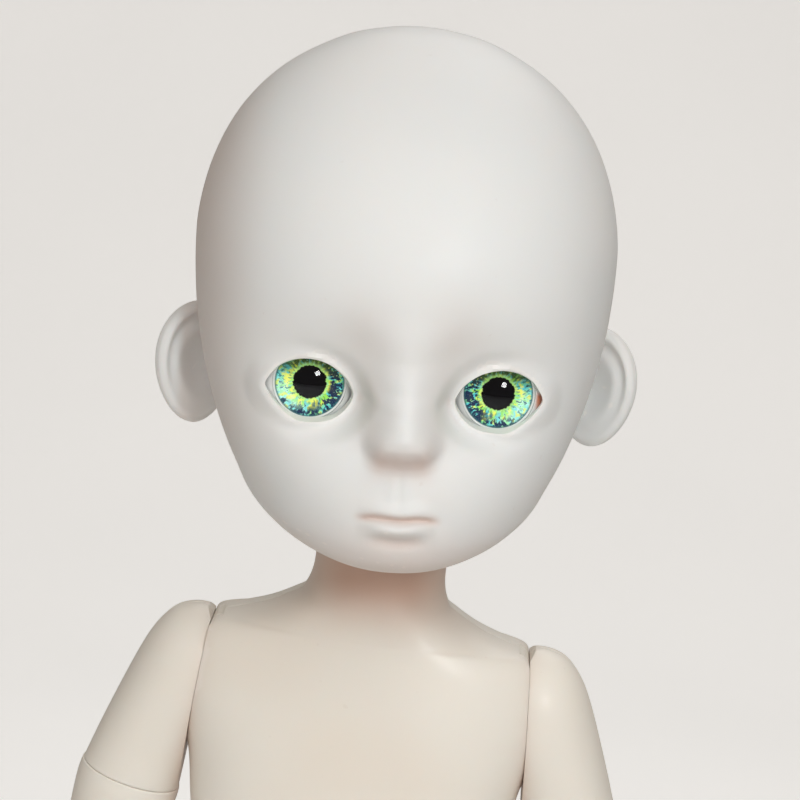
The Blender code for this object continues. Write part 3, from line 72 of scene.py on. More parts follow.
# Levels worked out from those lengths
KNEE_LEVEL = ANKLE_HEIGHT + SHIN_LENGTH
HIP_LEVEL = KNEE_LEVEL + KNEE_SPAN + THIGH_LENGTH
WAIST_LEVEL = HIP_LEVEL + HIP_TO_WAIST
BEND_LEVEL = WAIST_LEVEL + WAIST_TO_BEND
SHOULDER_LEVEL = BEND_LEVEL + BEND_TO_SHOULDER
NECK_LEVEL = SHOULDER_LEVEL + SHOULDER_TO_NECK
CROWN_LEVEL = NECK_LEVEL + HEAD_HEIGHT

# The trunk, limbs and neck share one parting plane, a little behind the middle of the head
SPINE_Y = 0.003

# Fits and tool sizes
CLEARANCE = 0.0003
LID_ROOM = 0.0006
LEVER_DEPTH_SHARE = 0.92
SEAM = 0.0002
TOP_EDGE_SLOPE = math.radians(38)
OVERRUN = 0.06

# Head
HEAD_WIDTH = 0.0590
HEAD_DEPTH = 0.068
HEAD_WALL_SHARE = 0.9
HEAD_FACE_WALL_SHARE = 0.8
HEAD_TILT = math.radians(-3.4)
HEAD_TURN = math.radians(4.0)
FLOOR_THICKNESS = 0.0023
FLOOR_HOLE_RADIUS = 0.0072
CAP_SEAM_Y = 0.014
CAP_SLANT = math.radians(10)
CAP_FOOT = 0.013

# Face, all places measured up from the chin or across from the middle
EYE_HEIGHT = 0.0257
EYE_OFFSET = 0.0126
EYE_DEPTH = 0.0172
EYE_RADIUS = 0.0078
LID_THICKNESS = 0.0010
EYE_OPENING_WIDTH = 0.0116
EYE_OPENING_HEIGHT = 0.0076
IRIS_RADIUS = 0.0049
IRIS_THICKNESS = 0.0004
IRIS_RECESS = 0.0011
IRIS_EDGE = 0.00460
IRIS_GAP = 0.00004
IRIS_BOWL_SHARE = 0.42
IRIS_BOWL_DEPTH = 0.00022
IRIS_BOWL_STEPS = 12
PUPIL_DEPTH = 0.00030
CORNEA_BULGE = 0.00205
CORNEA_EDGE = 0.0002

# Ears
EAR_LEVEL = 0.023
EAR_HEIGHT = 0.0176
EAR_WIDTH = 0.0140
EAR_THICKNESS = 0.0042
EAR_REACH = 0.0285
EAR_SET_BACK = 0.0042
EAR_FLARE = math.radians(38)
EAR_BACK_HOLLOW = 0.0006

# Neck joint
NECK_RADIUS = 0.0095
NECK_BALL_RADIUS = 0.0041
NECK_STEM_RADIUS = 0.0019
CUP_RADIUS = 0.0062
CUP_DEPTH = 0.0056
CUP_RISE = 0.0040
CUP_FLANGE = 0.0012
CUP_FLANGE_HEIGHT = 0.0016
CUP_MOUTH_ANGLE = math.radians(46)
SAUCER_THICKNESS = 0.0018
SAUCER_ANGLE = math.radians(35)
NECK_FLOW_TOP_SHARE = 0.42
NECK_FLOW_POWER = 2.6
NECK_DOME_TURN = math.radians(78)

# Trunk
CHEST_HALF_WIDTH = 0.024
CHEST_DEPTH = 0.0144
CHEST_WALL_SHARE = 0.50
ABDOMEN_HALF_WIDTH = 0.0175
BARREL_RADIUS = 0.0095
BARREL_EDGE = 0.0012
WAIST_PEG_RADIUS = 0.0055
WAIST_PEG_LENGTH = 0.0070
WAIST_HEAD_RADIUS = 0.0075
WAIST_HEAD_LENGTH = 0.0030
PELVIS_HALF_WIDTH = 0.0215
PELVIS_DEPTH = 0.0144
CROTCH_DROP = 0.0134
SCREW_HOLE_RADIUS = 0.0017
SCREW_HOLE_DEPTH = 0.0020
CHEST_SCREW_SPACING = 0.018
PELVIS_SCREW_SPACING = 0.014
CHEST_SCREW_DEPTH_SHARE = 0.78
PELVIS_SCREW_DEPTH_SHARE = 0.90
CHEST_HOLLOW_ROWS = slice(3, 8)

# Arm, measured along its own axis
ARM_LEAN = math.radians(-12.3)
ARM_OFFSET = 0.00485
SLEEVE_LENGTH = 0.0175
SLEEVE_DOME = 0.0102
SLEEVE_WIDTH = 0.0078
SLEEVE_DEPTH = 0.0084
UPPER_ARM_LENGTH = 0.0365
BICEP_WIDTH = 0.0076
FOREARM_LENGTH = 0.0301
FOREARM_WIDTH = 0.0058

# Hand, with the palm towards the thigh and the thumb forward
PALM_LENGTH = 0.0138
PALM_HALF_BREADTH = 0.0062
PALM_HALF_THICKNESS = 0.0042
FINGER_RADIUS = 0.0013
FINGER_SPACING = 0.0031
FINGER_LENGTH = 0.0110
THUMB_LENGTH = 0.0090
THUMB_RADIUS = 0.0016
THUMB_TURN = math.radians(-32)

# Leg
THIGH_WIDTH = 0.0122
THIGH_DEPTH = 0.0128
THIGH_AXIS = 0.0124
THIGH_SLEEVE = 0.0220
THIGH_DOME = 0.0125
SHIN_WIDTH = 0.0084

# Pegs that the biceps and lower thighs turn on: radius and length of the neck, then of the head
ARM_PEG = (0.0029, 0.0046, 0.0041, 0.0024)
THIGH_PEG = (0.0042, 0.0055, 0.0058, 0.0026)

# Foot
FOOT_FRONT = 0.0240
FOOT_BACK = 0.0106
FOOT_HALF_WIDTH = 0.0073

# Materials
BLOTCH_COLOR = (0.74, 0.60, 0.47)
SPECK_COLOR = (0.52, 0.42, 0.33)
# painted shade: the brown that the hollows of every plastic are darkened towards
HOLLOW_SHADE_COLOR = (0.50, 0.33, 0.24)
# painted highlight: the pale colour that convex edges are lightened towards
EDGE_HIGHLIGHT_COLOR = (0.93, 0.90, 0.86)
# painted shade: the warm brown that shaded places on the face, neck and shoulder seams are painted
# in
PAINTED_SHADE_COLOR = (0.56, 0.33, 0.24)
EYE_WHITE_COLOR = (0.78, 0.80, 0.79)
GRAIN_HEIGHT = 0.00006
# width of the painted shade along the shoulder seams
SHOULDER_SHADE_WIDTH = 0.0010
SOFT_DEPTH = 0.0016
IRIS_SEEDS = {1: 0.0, -1: 7.3}
# painted light: how strongly the iris glows, though it is no lamp
IRIS_PAINTED_GLOW = 0.36
DOME_MOST_SHINE = 0.10
GROUND_COLOR = (0.86, 0.86, 0.85)
GROUND_GLOW = 0.42

# Floor: its reach to each side and to the front, where the backdrop's curve starts, the
# curve's radius and steps, and the backdrop's height
FLOOR_HALF_WIDTH = 7.0
FLOOR_FRONT = -1.6
CURVE_START = 0.7
CURVE_RADIUS = 0.5
CURVE_STEPS = 16
BACKDROP_HEIGHT = 2.2

# Lamps, all aimed at the face: place, width, power, colour, and whether surfaces mirror them
FACE_PLACE = (0, 0, 0.25)
LAMPS = {
    "key": ((0.24, -0.80, 1.15), 1.1, 6.9, (0.97, 0.99, 1.0), False),
    "front": ((-0.40, -1.0, 0.66), 0.9, 2.6, (1.0, 0.99, 0.97), False),
    "spark": ((0.135, -0.42, 0.395), 0.090, 0.48, (1, 1, 1), True),
    "back": ((0.1, 0.55, 0.9), 0.6, 1.5, (1, 1, 1), True),
}
WORLD_LIGHT = (0.20, 0.165, 0.135, 1)
WORLD_SEEN = (0.86, 0.88, 0.90, 1)

# Camera, from the photograph
CAMERA_TARGET = (-0.0003, 0, 0.24695)
CAMERA_DISTANCE = 0.375
CAMERA_RISE = math.radians(10)
CAMERA_TURN = math.radians(0.6)
CAMERA_ROLL = math.radians(-7.5)
CAMERA_LENS = 118.8

# Smoothness of the fine surfaces
HEAD_COLUMNS = 264
HEAD_ROWS = 230
TRUNK_COLUMNS = 112
LIMB_COLUMNS = 64
ROUND_SIDES = 56
BALL_SIDES = 48
PEG_SIDES = 40
PIN_SIDES = 28
WIDE_SIDES = 96
EYE_SIDES = 144
FINENESS = 5
ROWS_BETWEEN = 6
OPENING_STEPS = 24
END_STEPS = 4
KNUCKLE_STEPS = 36
CORNER_STEPS = 16
LINK_STEPS = 32
CAVITY_COLUMNS = 72
CAVITY_ROWS = 60
EAR_COLUMNS = 96
EAR_ROWS = 40
NECK_ROWS = 14
NECK_DOME_ROWS = 24

# How far the head's rows and columns are drawn together where the face is
FACE_ROW_SHARE = 0.30
FACE_CROWDING_SHARE = 0.62
FACE_TURN_SHARE = 0.68

LEFT = 1
RIGHT = -1

# Squareness of the outlines seen from above; 2 is an ellipse
HEAD_POWER = 2.25
CHEST_POWER = 2.5
ABDOMEN_POWER = 2.6
PELVIS_POWER = 2.4
LIMB_POWER = 2.1
HAND_POWER = 2.3
FOOT_POWER = 2.3

# Fine forms of the face
NOSE_FOOT = 0.0166
NOSE_HALF_WIDTH = 0.0045
NOSE_FOOT_RISE = 0.0007
NOSE_POWER = 2.15
WING_LEVEL = 0.0192
WING_START = 0.0016
MOUTH_LEVEL = 0.0094
MOUTH_HALF_WIDTH = 0.0054
OPENING_SHIFT = 0.0001
OPENING_DROP = 0.0006
LID_MARGIN = 0.00040
LID_FLARE = 0.0016
LID_HOLD = 0.0004
LID_REACH = 0.0040
LID_BLEND = 0.0010
LID_ROUNDING = 0.0009
LID_EDGE_ROUNDING = 0.00042
LID_EDGE_REACH = 0.0011
LID_BEVEL_FRONT = 0.0014
LID_BEVEL_BACK = 0.0002
FOLD_ABOVE = 0.0013
FOLD_WIDTH = 0.00030
FOLD_DEPTH = 0.00010
BAG_BELOW = 0.0019
BAG_WIDTH = 0.0006
BAG_DEPTH = 0.00006
FACE_FADE = 0.45

# Small spots of the face: place across, its width, height, its width, and how far they stand out
NOSE_WING = (0.0031, 0.0012, WING_LEVEL, 0.0016, 0.0009)
NOSE_GROOVE = (NOSE_HALF_WIDTH + 0.0006, 0.0008, WING_LEVEL - 0.0002, 0.0017, 0.00022)
NOSTRIL = (0.0015, 0.0007, 0.0012, 0.0006, 0.00030)
MOUTH_CORNER = (MOUTH_HALF_WIDTH, 0.0010, 0, 0.0008, -0.00012)
LIP_GROOVE = (0, 0.00045, MOUTH_LEVEL + 0.0042, 0.0017, -0.00008)
LIP_RIDGES = (0.0009, 0.0006, MOUTH_LEVEL + 0.0040, 0.0016, 0.00016)

# Painted shade beside the nose and below the brow: place across, its width, height, its width and
# its share
NOSE_SIDE_SHADE = (0.0044, 0.0014, 0.0225, 0.0045, 0.13)
BROW_SHADE = (0.0062, 0.0026, 0.0335, 0.0035, 0.10)

# Line between the lips, upper lip, lower lip and the hollow under it: height above the line,
# its width, how far they stand out, and the shares of the mouth's half width where they fade
LIP_FORMS = (
    (0, 0.00034, -0.00062, 0.55, 1.12),
    (0.0011, 0.0008, 0.00060, 0.35, 1.05),
    (-0.00135, 0.00090, 0.00125, 0.30, 1.05),
    (-0.00305, 0.00065, -0.00085, 0.15, 0.85),
)
LIP_ARCH = 0.00020
LIP_DROP = 0.00016

# Seams and edges
SEAM_EASE = 0.00016
SEAM_SPREAD = 0.0005
SEAM_STEPS = (0.00010, 0.00020, 0.00034, 0.00052)
END_ROUND = 0.00020
SEAM_REACH = 0.010
SIDE_GAP = 0.00005
EDGE_ROUND = 0.00010
WELD_DISTANCE = 0.000008
SMOOTH_ANGLE = math.radians(38)
SHARP_ANGLE = math.radians(50)

# Nose: height above its foot, how far it stands out and its half width
NOSE_ROWS = (
    (-0.0014, 0.0000, 0.0042),
    (-0.0004, 0.0004, 0.0042),
    (0.0005, 0.0015, 0.0042),
    (0.0014, 0.0028, 0.0042),
    (0.0025, 0.0038, 0.0041),
    (0.0038, 0.0043, 0.0039),
    (0.0052, 0.0042, 0.0038),
    (0.0072, 0.0034, 0.0038),
    (0.0098, 0.0022, 0.0041),
    (0.0140, 0.0010, 0.0050),
    (0.0200, 0.0000, 0.0060),
)

# Edge of the eye opening from its middle, in shares of its half width towards the nose and
# of its half height
OPENING_SHARES = (
    (0.99, -0.17),
    (0.89, 0.22),
    (0.72, 0.54),
    (0.43, 0.85),
    (0.08, 1.00),
    (-0.29, 0.98),
    (-0.64, 0.78),
    (-0.85, 0.47),
    (-1.00, 0.07),
    (-0.87, -0.30),
    (-0.63, -0.66),
    (-0.30, -0.95),
    (0.10, -1.02),
    (0.52, -0.93),
    (0.82, -0.62),
)

# Broad forms of the face: place across and up, how far they reach across and up, and how far
# they stand out, in shares of the head's height
FACE_FORMS = (
    (0.172, 0.372, 0.090, 0.092, -0.030),
    (0.102, 0.372, 0.048, 0.082, -0.0195),
    (0.150, 0.490, 0.130, 0.060, 0.008),
    (0.075, 0.420, 0.035, 0.050, -0.005),
    (0.190, 0.200, 0.100, 0.085, 0.020),
    (0.000, 0.140, 0.100, 0.070, 0.024),
    (0.000, 0.040, 0.080, 0.040, 0.016),
)

# Head outline: height at the front, height at the back, half width, front and back, in shares
# of the head's height, half width and half depth, the last two measured from its middle
HEAD_SHARES = (
    (0.055, 0.068, 0.230, -0.26, 0.32),
    (0.030, 0.082, 0.325, -0.47, 0.44),
    (0.009, 0.103, 0.425, -0.65, 0.56),
    (0.028, 0.150, 0.585, -0.765, 0.69),
    (0.064, 0.199, 0.702, -0.818, 0.79),
    (0.110, 0.247, 0.767, -0.841, 0.868),
    (0.164, 0.295, 0.829, -0.853, 0.918),
    (0.226, 0.342, 0.882, -0.862, 0.947),
    (0.288, 0.390, 0.924, -0.868, 0.970),
    (0.349, 0.438, 0.955, -0.882, 0.988),
    (0.411, 0.486, 0.977, -0.903, 1.000),
    (0.473, 0.534, 0.990, -0.924, 1.006),
    (0.534, 0.582, 0.997, -0.932, 1.003),
    (0.596, 0.630, 0.995, -0.924, 0.988),
    (0.658, 0.685, 0.973, -0.894, 0.956),
    (0.719, 0.740, 0.933, -0.844, 0.903),
    (0.781, 0.795, 0.870, -0.771, 0.829),
    (0.836, 0.845, 0.787, -0.671, 0.732),
    (0.888, 0.893, 0.673, -0.547, 0.609),
    (0.932, 0.934, 0.530, -0.400, 0.462),
    (0.972, 0.973, 0.330, -0.229, 0.291),
    (0.9895, 0.9895, 0.150, -0.090, 0.150),
    (0.9940, 0.9940, 0.030, -0.010, 0.050),
)

# Chest outline: height, half width, front and back, in shares of the length from the bend
# to the neck joint, the chest's half width and its depth
CHEST_SHARES = (
    (0.000, 0.842, 0.830, 0.830),
    (0.068, 0.867, 0.917, 0.826),
    (0.169, 0.925, 0.972, 0.806),
    (0.288, 0.975, 1.000, 0.806),
    (0.407, 1.021, 0.986, 0.799),
    (0.508, 1.110, 0.944, 0.785),
    (0.593, 1.180, 0.889, 0.764),
    (0.695, 1.150, 0.792, 0.736),
    (0.747, 1.020, 0.736, 0.708),
    (0.764, 0.850, 0.722, 0.701),
    (0.792, 0.650, 0.708, 0.694),
    (0.836, 0.450, 0.688, 0.680),
)

# Pelvis outline: height below the waist, half width, front and back, in shares of the
# length from waist to crotch, the pelvis's half width and its depth
PELVIS_SHARES = (
    (1.000, 0.130, 0.380, 0.250),
    (0.960, 0.330, 0.600, 0.450),
    (0.870, 0.560, 0.760, 0.680),
    (0.730, 0.840, 0.875, 0.920),
    (0.550, 0.980, 0.930, 1.000),
    (0.380, 1.000, 0.944, 0.993),
    (0.230, 0.967, 0.924, 0.944),
    (0.110, 0.912, 0.870, 0.870),
    (0.000, 0.851, 0.806, 0.806),
)

# Waist outline: height, half width and half depth, in shares of the length from waist to
# bend, the abdomen's half width and the barrel's radius
WAIST_SHARES = (
    (0.030, 1.000, 1.200),
    (0.250, 0.990, 1.100),
    (0.400, 0.980, 0.980),
    (0.530, 0.970, 0.860),
    (1.000, 0.960, 0.880),
)

# Limb outlines: height along the limb, middle, half width, front and back, in shares of
# the limb's length, width and depth. Heights run down from the upper end at 1 to 0
SLEEVE_SHARES = (
    (0.000, 0.000, 0.936, 0.857, 0.857),
    (0.165, -0.050, 0.925, 0.881, 0.881),
    (0.340, -0.155, 0.950, 0.940, 0.940),
    (0.520, -0.310, 1.012, 1.000, 1.000),
    (0.665, -0.385, 1.000, 1.000, 1.000),
    (0.775, -0.400, 0.923, 0.940, 0.940),
    (0.865, -0.390, 0.785, 0.810, 0.810),
    (0.935, -0.370, 0.600, 0.610, 0.610),
    (0.978, -0.355, 0.365, 0.390, 0.390),
    (1.000, -0.350, 0.160, 0.180, 0.180),
)
BICEP_SHARES = (
    (0.000, 0.000, 0.690, 0.590, 0.590),
    (0.080, 0.000, 0.710, 0.640, 0.640),
    (0.330, 0.000, 0.810, 0.790, 0.790),
    (0.620, 0.000, 0.920, 0.915, 0.915),
    (0.880, 0.000, 0.990, 0.980, 0.980),
    (1.000, 0.000, 0.980, 0.965, 0.965),
)
FOREARM_SHARES = (
    (0.000, 0.000, 0.725, 0.725, 0.725),
    (0.090, 0.000, 0.740, 0.740, 0.740),
    (0.290, 0.000, 0.860, 0.840, 0.840),
    (0.500, 0.000, 0.975, 0.930, 0.930),
    (0.700, 0.000, 1.000, 0.930, 0.930),
    (0.880, 0.000, 0.930, 0.830, 0.830),
    (1.000, 0.000, 0.897, 0.765, 0.765),
)
THIGH_SHARES = (
    (0.000, 0.000, 0.943, 0.906, 0.906),
    (0.200, 0.016, 0.970, 0.950, 0.950),
    (0.435, 0.050, 0.995, 1.000, 1.000),
    (0.640, 0.130, 0.970, 0.985, 0.985),
    (0.770, 0.220, 0.850, 0.900, 0.900),
    (0.870, 0.330, 0.680, 0.770, 0.770),
    (0.945, 0.440, 0.480, 0.570, 0.570),
    (0.985, 0.510, 0.300, 0.350, 0.350),
    (1.000, 0.530, 0.140, 0.170, 0.170),
)
LOWER_THIGH_SHARES = (
    (0.000, 0.000, 0.640, 0.500, 0.500),
    (0.095, 0.000, 0.655, 0.580, 0.570),
    (0.215, 0.000, 0.690, 0.680, 0.650),
    (0.430, 0.000, 0.770, 0.780, 0.740),
    (0.730, 0.000, 0.885, 0.870, 0.850),
    (1.000, 0.000, 0.940, 0.906, 0.890),
)
SHIN_SHARES = (
    (0.000, 0.000, 0.762, 0.762, 0.762),
    (0.070, 0.000, 0.750, 0.755, 0.755),
    (0.200, 0.000, 0.738, 0.750, 0.762),
    (0.400, 0.000, 0.820, 0.800, 0.905),
    (0.600, 0.000, 0.950, 0.870, 1.060),
    (0.760, 0.000, 0.975, 0.880, 1.080),
    (0.900, 0.000, 0.930, 0.840, 0.900),
    (1.000, 0.000, 0.905, 0.774, 0.774),
)
PALM_SHARES = (
    (0.000, 0.000, 0.500, 0.960, 0.960),
    (0.200, 0.000, 0.640, 1.000, 1.000),
    (0.470, 0.000, 0.780, 0.900, 0.900),
    (0.780, 0.000, 0.920, 0.740, 0.740),
    (1.000, 0.000, 1.050, 0.710, 0.710),
)

# Foot outline: height, half width, front and back, in shares of the ankle's height, the
# foot's half width, and its reach in front of and behind the ankle
FOOT_SHARES = (
    (0.000, 0.870, 0.940, 0.930),
    (0.080, 0.960, 1.000, 0.990),
    (0.270, 1.000, 1.000, 1.000),
    (0.480, 0.975, 0.850, 0.970),
    (0.700, 0.940, 0.550, 0.880),
    (0.880, 0.910, 0.350, 0.740),
    (1.000, 0.904, 0.275, 0.623),
)

# Fingers: place across the palm in finger spacings and length in shares of the longest
FINGER_SHARES = (
    (-1.5, 0.88),
    (-0.5, 1.00),
    (0.5, 0.94),
    (1.5, 0.76),
)
# Finger outline: place along it and half width, in shares of its length and radius
FINGER_TAPER = ((0, 1.0), (0.3, 0.98), (0.6, 0.95), (0.84, 0.84), (0.95, 0.62), (1.0, 0.22))
# Thumb's root: place across and along, in shares of the palm's half breadth and length
THUMB_PLACE = (0.62, 0.38)


@dataclass
class LidJoint:
    """Sizes of a lid hinge with a disc below it, on a flat side plane whose tilt is the lean."""

    half_width: float
    level: float
    lean: float
    reach: float
    disc_radius: float
    disc_depth: float
    peg_radius: float
    peg_length: float
    head_radius: float
    head_length: float
    knuckle_radius: float
    knuckle_width: float

    def origin(self):
        return Vector((self.half_width, SPINE_Y, self.level))

    def pivot(self):
        """Hinge line in the joint's own frame: X out of the side plane, Z up along it."""
        return Vector((-self.knuckle_radius, 0, self.reach))

    def matrix(self):
        return Matrix.Translation(self.origin()) @ Matrix.Rotation(self.lean, 4, "Y")


@dataclass
class LinkJoint:
    """Sizes of two rounded limb ends with a flat link between them, on a pin in each."""

    span: float
    radius: float
    half_width: float
    link_radius: float
    link_width: float
    pin_radius: float


@dataclass
class BallJoint:
    """Sizes of a ball on a stem, the socket's rim above its middle and the cut above the rim."""

    radius: float
    stem_radius: float
    stem_length: float
    rim: float
    gap: float


SHOULDER = LidJoint(
    half_width=0.02385,
    level=SHOULDER_LEVEL,
    lean=math.radians(-4.5),
    reach=0.0079,
    disc_radius=0.0060,
    disc_depth=0.0022,
    peg_radius=0.0022,
    peg_length=0.0033,
    head_radius=0.0034,
    head_length=0.0020,
    knuckle_radius=0.0016,
    knuckle_width=0.0024,
)
HIP = LidJoint(
    half_width=0.0125,
    level=HIP_LEVEL,
    lean=math.radians(32),
    reach=0.0133,
    disc_radius=0.0080,
    disc_depth=0.0030,
    peg_radius=0.0032,
    peg_length=0.0048,
    head_radius=0.0048,
    head_length=0.0026,
    knuckle_radius=0.0020,
    knuckle_width=0.0030,
)
SIDE_PLANE = SHOULDER.matrix().inverted()
ELBOW = LinkJoint(0.0094, 0.0045, 0.0052, 0.0038, 0.0021, 0.0015)
KNEE = LinkJoint(KNEE_SPAN, 0.0065, 0.0078, 0.0056, 0.0032, 0.0022)
WRIST = BallJoint(0.0032, 0.0015, 0.0080, rim=0.0003, gap=0.0025)
ANKLE = BallJoint(0.0050, 0.0022, 0.0120, rim=0.0004, gap=0.0041)


# Mesh helpers


def as_object(name, data):
    piece = bpy.data.objects.new(name, data)
    bpy.context.scene.collection.objects.link(piece)
    return piece


def from_faces(name, points, faces):
    """A closed mesh object whose faces are turned outwards."""
    mesh = bpy.data.meshes.new(name)
    mesh.from_pydata([tuple(point) for point in points], [], faces)
    shell = bmesh.new()
    shell.from_mesh(mesh)
    bmesh.ops.recalc_face_normals(shell, faces=shell.faces)
    shell.to_mesh(mesh)
    shell.free()
    return as_object(name, mesh)


def loft(name, rings):
    """Skins equal rings of points one after the other and closes both ends."""
    count = len(rings[0])
    points = [point for ring in rings for point in ring]
    faces = []
    for row in range(len(rings) - 1):
        low = row * count
        high = low + count
        for column in range(count):
            after = (column + 1) % count
            faces.append((low + column, low + after, high + after, high + column))
    faces.append(tuple(range(count)))
    faces.append(tuple(range(len(points) - count, len(points))))
    return from_faces(name, points, faces)


def ring_angles(count, power, seam):
    """Even angles round a ring, with more of them beside the parting plane of a split piece."""
    angles = [math.tau * step / count for step in range(count)]
    if not seam:
        return angles
    for middle in (math.pi / 2, 3 * math.pi / 2):
        for distance in SEAM_STEPS:
            turn = (distance / SEAM_REACH) ** (power / 2)
            angles += [middle - turn, middle + turn]
    return sorted(angles)


def rounded_ring(level, half_width, front, back, middle=0, power=2, count=LIMB_COLUMNS, seam=False):
    """A level ring, wider or narrower in front of the Y plane than behind it."""
    ring = []
    for angle in ring_angles(count, power, seam):
        across = math.sin(angle)
        along = -math.cos(angle)
        reach = front if along < 0 else back
        wide = half_width * abs(across) ** (2 / power)
        y = reach * math.copysign(abs(along) ** (2 / power), along)
        if seam and abs(y) < SEAM_SPREAD:
            wide -= SEAM_EASE * (1 - abs(y) / SEAM_SPREAD) ** 2
        ring.append(Vector((middle + math.copysign(wide, across), y, level)))
    return ring


def smooth_rows(rows, between=ROWS_BETWEEN):
    """Reads more rows from a smooth curve through the rows of a table."""
    steps = (len(rows) - 1) * between
    return [row_between(rows, step / between) for step in range(steps + 1)]


def round_ends(rows, length, high=True):
    """Draws in the lower end of a limb's rows, and the upper one, so that the edges are round."""
    size = END_ROUND / length

    def position(at):
        for index, (one, two) in enumerate(zip(rows, rows[1:])):
            if one[0] <= at <= two[0]:
                return index + (at - one[0]) / (two[0] - one[0])
        return len(rows) - 1

    def drawn(at, inset):
        return (at, *row_between(rows, position(at))[1:], inset)

    result = [(*row, 0) for row in rows if row[0] > size and not (high and row[0] >= 1 - size)]
    for step in range(END_STEPS + 1):
        turn = math.pi / 2 * step / END_STEPS
        rise = size * (1 - math.sin(turn))
        inset = END_ROUND * (1 - math.cos(turn))
        result.append(drawn(rise, inset))
        if high:
            result.append(drawn(1 - rise, inset))
    return sorted(result, key=lambda row: row[0])


def turned(name, profile, sides=ROUND_SIDES):
    """Turns a profile of (radius, height) pairs, bottom to top, round Z."""
    points = []
    rows = []
    for radius, height in profile:
        if radius == 0:
            rows.append([len(points)] * sides)
            points.append(Vector((0, 0, height)))
            continue
        rows.append(list(range(len(points), len(points) + sides)))
        for step in range(sides):
            angle = math.tau * step / sides
            points.append(Vector((radius * math.cos(angle), radius * math.sin(angle), height)))
    faces = []
    for low, high in zip(rows, rows[1:]):
        for column in range(sides):
            after = (column + 1) % sides
            corners = (low[column], low[after], high[after], high[column])
            faces.append(tuple(dict.fromkeys(corners)))
    for end in (rows[0], rows[-1]):
        if len(set(end)) > 1:
            faces.append(tuple(end))
    return from_faces(name, points, faces)


def arc(radius, start, end, steps, center=0):
    """Profile points on a circle round (0, center), with angles measured up from level."""
    steps *= FINENESS
    turn = (end - start) / steps
    points = []
    for step in range(steps + 1):
        angle = start + turn * step
        out = math.cos(angle)
        points.append((radius * out if abs(out) >= 1e-9 else 0, center + radius * math.sin(angle)))
    return points


def ball(name, radius, sides=ROUND_SIDES):
    return turned(name, arc(radius, -math.pi / 2, math.pi / 2, sides // 2), sides)


def rod(name, radius, start, end, sides=ROUND_SIDES):
    return turned(name, ((radius, start), (radius, end)), sides)


def box(name, low, high):
    (x0, y0, z0), (x1, y1, z1) = low, high
    points = [(x, y, z) for z in (z0, z1) for x, y in ((x0, y0), (x1, y0), (x1, y1), (x0, y1))]
    faces = [(0, 1, 2, 3), (4, 5, 6, 7), (0, 1, 5, 4), (1, 2, 6, 5), (2, 3, 7, 6), (3, 0, 4, 7)]
    return from_faces(name, points, faces)


def aim(piece, axis):
    """Turns a piece that was built along Z so that it lies along X, out of it, or along -Y."""
    if axis == "X":
        piece.data.transform(Matrix.Rotation(math.pi / 2, 4, "Y"))
    if axis == "-Y":
        piece.data.transform(Matrix.Rotation(math.pi / 2, 4, "X"))
    return piece


def shift(piece, offset):
    piece.data.transform(Matrix.Translation(offset))
    return piece


def combine(piece, tool, operation):
    """Cuts the tool out of a piece, or joins it on, as both stand in the world."""
    change = piece.modifiers.new(operation.lower(), "BOOLEAN")
    change.operation = operation
    change.solver = "MANIFOLD"
    change.object = tool
    bpy.context.view_layer.update()
    graph = bpy.context.evaluated_depsgraph_get()
    shaped = bpy.data.meshes.new_from_object(piece.evaluated_get(graph))
    piece.modifiers.clear()
    before = piece.data
    piece.data = shaped
    bpy.data.meshes.remove(before)
    bpy.data.objects.remove(tool)
    return piece


def cut(piece, tool):
    return combine(piece, tool, "DIFFERENCE")


def join(piece, tool):
    return combine(piece, tool, "UNION")


def copy_of(piece, name):
    twin = piece.copy()
    twin.data = piece.data.copy()
    twin.name = name
    bpy.context.scene.collection.objects.link(twin)
    return twin


def soften(piece, width):
    """Rounds the sharp edges of a plain piece by a bevel."""
    shell = bmesh.new()
    shell.from_mesh(piece.data)
    edges = [edge for edge in shell.edges if edge.is_manifold]
    sharp = [edge for edge in edges if edge.calc_face_angle() > SHARP_ANGLE]
    bmesh.ops.bevel(shell, geom=sharp, offset=width, segments=4, affect="EDGES")
    shell.to_mesh(piece.data)
    shell.free()
    return piece


def place(piece, matrix):
    piece.matrix_basis = matrix
    return piece


def halves(piece, front_name, back_name):
    """Splits a piece at its own Y plane into a front half and a back half."""
    back = copy_of(piece, back_name)
    piece.name = front_name
    wide = OVERRUN
    tall = CROWN_LEVEL
    gap = SEAM / 2
    behind = box("behind", (-wide, -gap, -tall), (wide, wide, tall))
    before = box("before", (-wide, -wide, -tall), (wide, gap, tall))
    cut(piece, place(behind, piece.matrix_basis))
    cut(back, place(before, piece.matrix_basis))
    return piece, back


def mirrored(piece, name):
    """The same piece for the right hand side."""
    twin = copy_of(piece, name)
    flip = Matrix.Scale(-1, 4, Vector((1, 0, 0)))
    twin.data.transform(flip)
    twin.data.flip_normals()
    twin.matrix_basis = flip @ piece.matrix_basis @ flip
    return twin


def on_that_side(piece, side):
    """A left hand piece as it is, or turned into its right hand twin."""
    if side == LEFT:
        return piece
    twin = mirrored(piece, piece.name + "_twin")
    bpy.data.objects.remove(piece)
    return twin


# Head


def crowded(share):
    """Shares of the way up the head, drawn together where the face is."""
    turn = math.sin(math.tau * (share - FACE_ROW_SHARE)) + math.sin(math.tau * FACE_ROW_SHARE)
    return share - FACE_CROWDING_SHARE * turn / math.tau


def row_between(rows, place_on):
    """Reads one row from a smooth curve through the rows of a table."""
    last = len(rows) - 1
    index = min(max(int(place_on), 0), last - 1)
    t = place_on - index
    around = [rows[min(max(index + offset, 0), last)] for offset in (-1, 0, 1, 2)]
    row = []
    for a, b, c, d in zip(*around):
        bend = (2 * a - 5 * b + 4 * c - d) * t * t + (3 * b - a - 3 * c + d) * t * t * t
        row.append(b + ((c - a) * t + bend) / 2)
    return row


def smooth_step(low, high, value):
    share = min(max((value - low) / (high - low), 0), 1)
    return share * share * (3 - 2 * share)


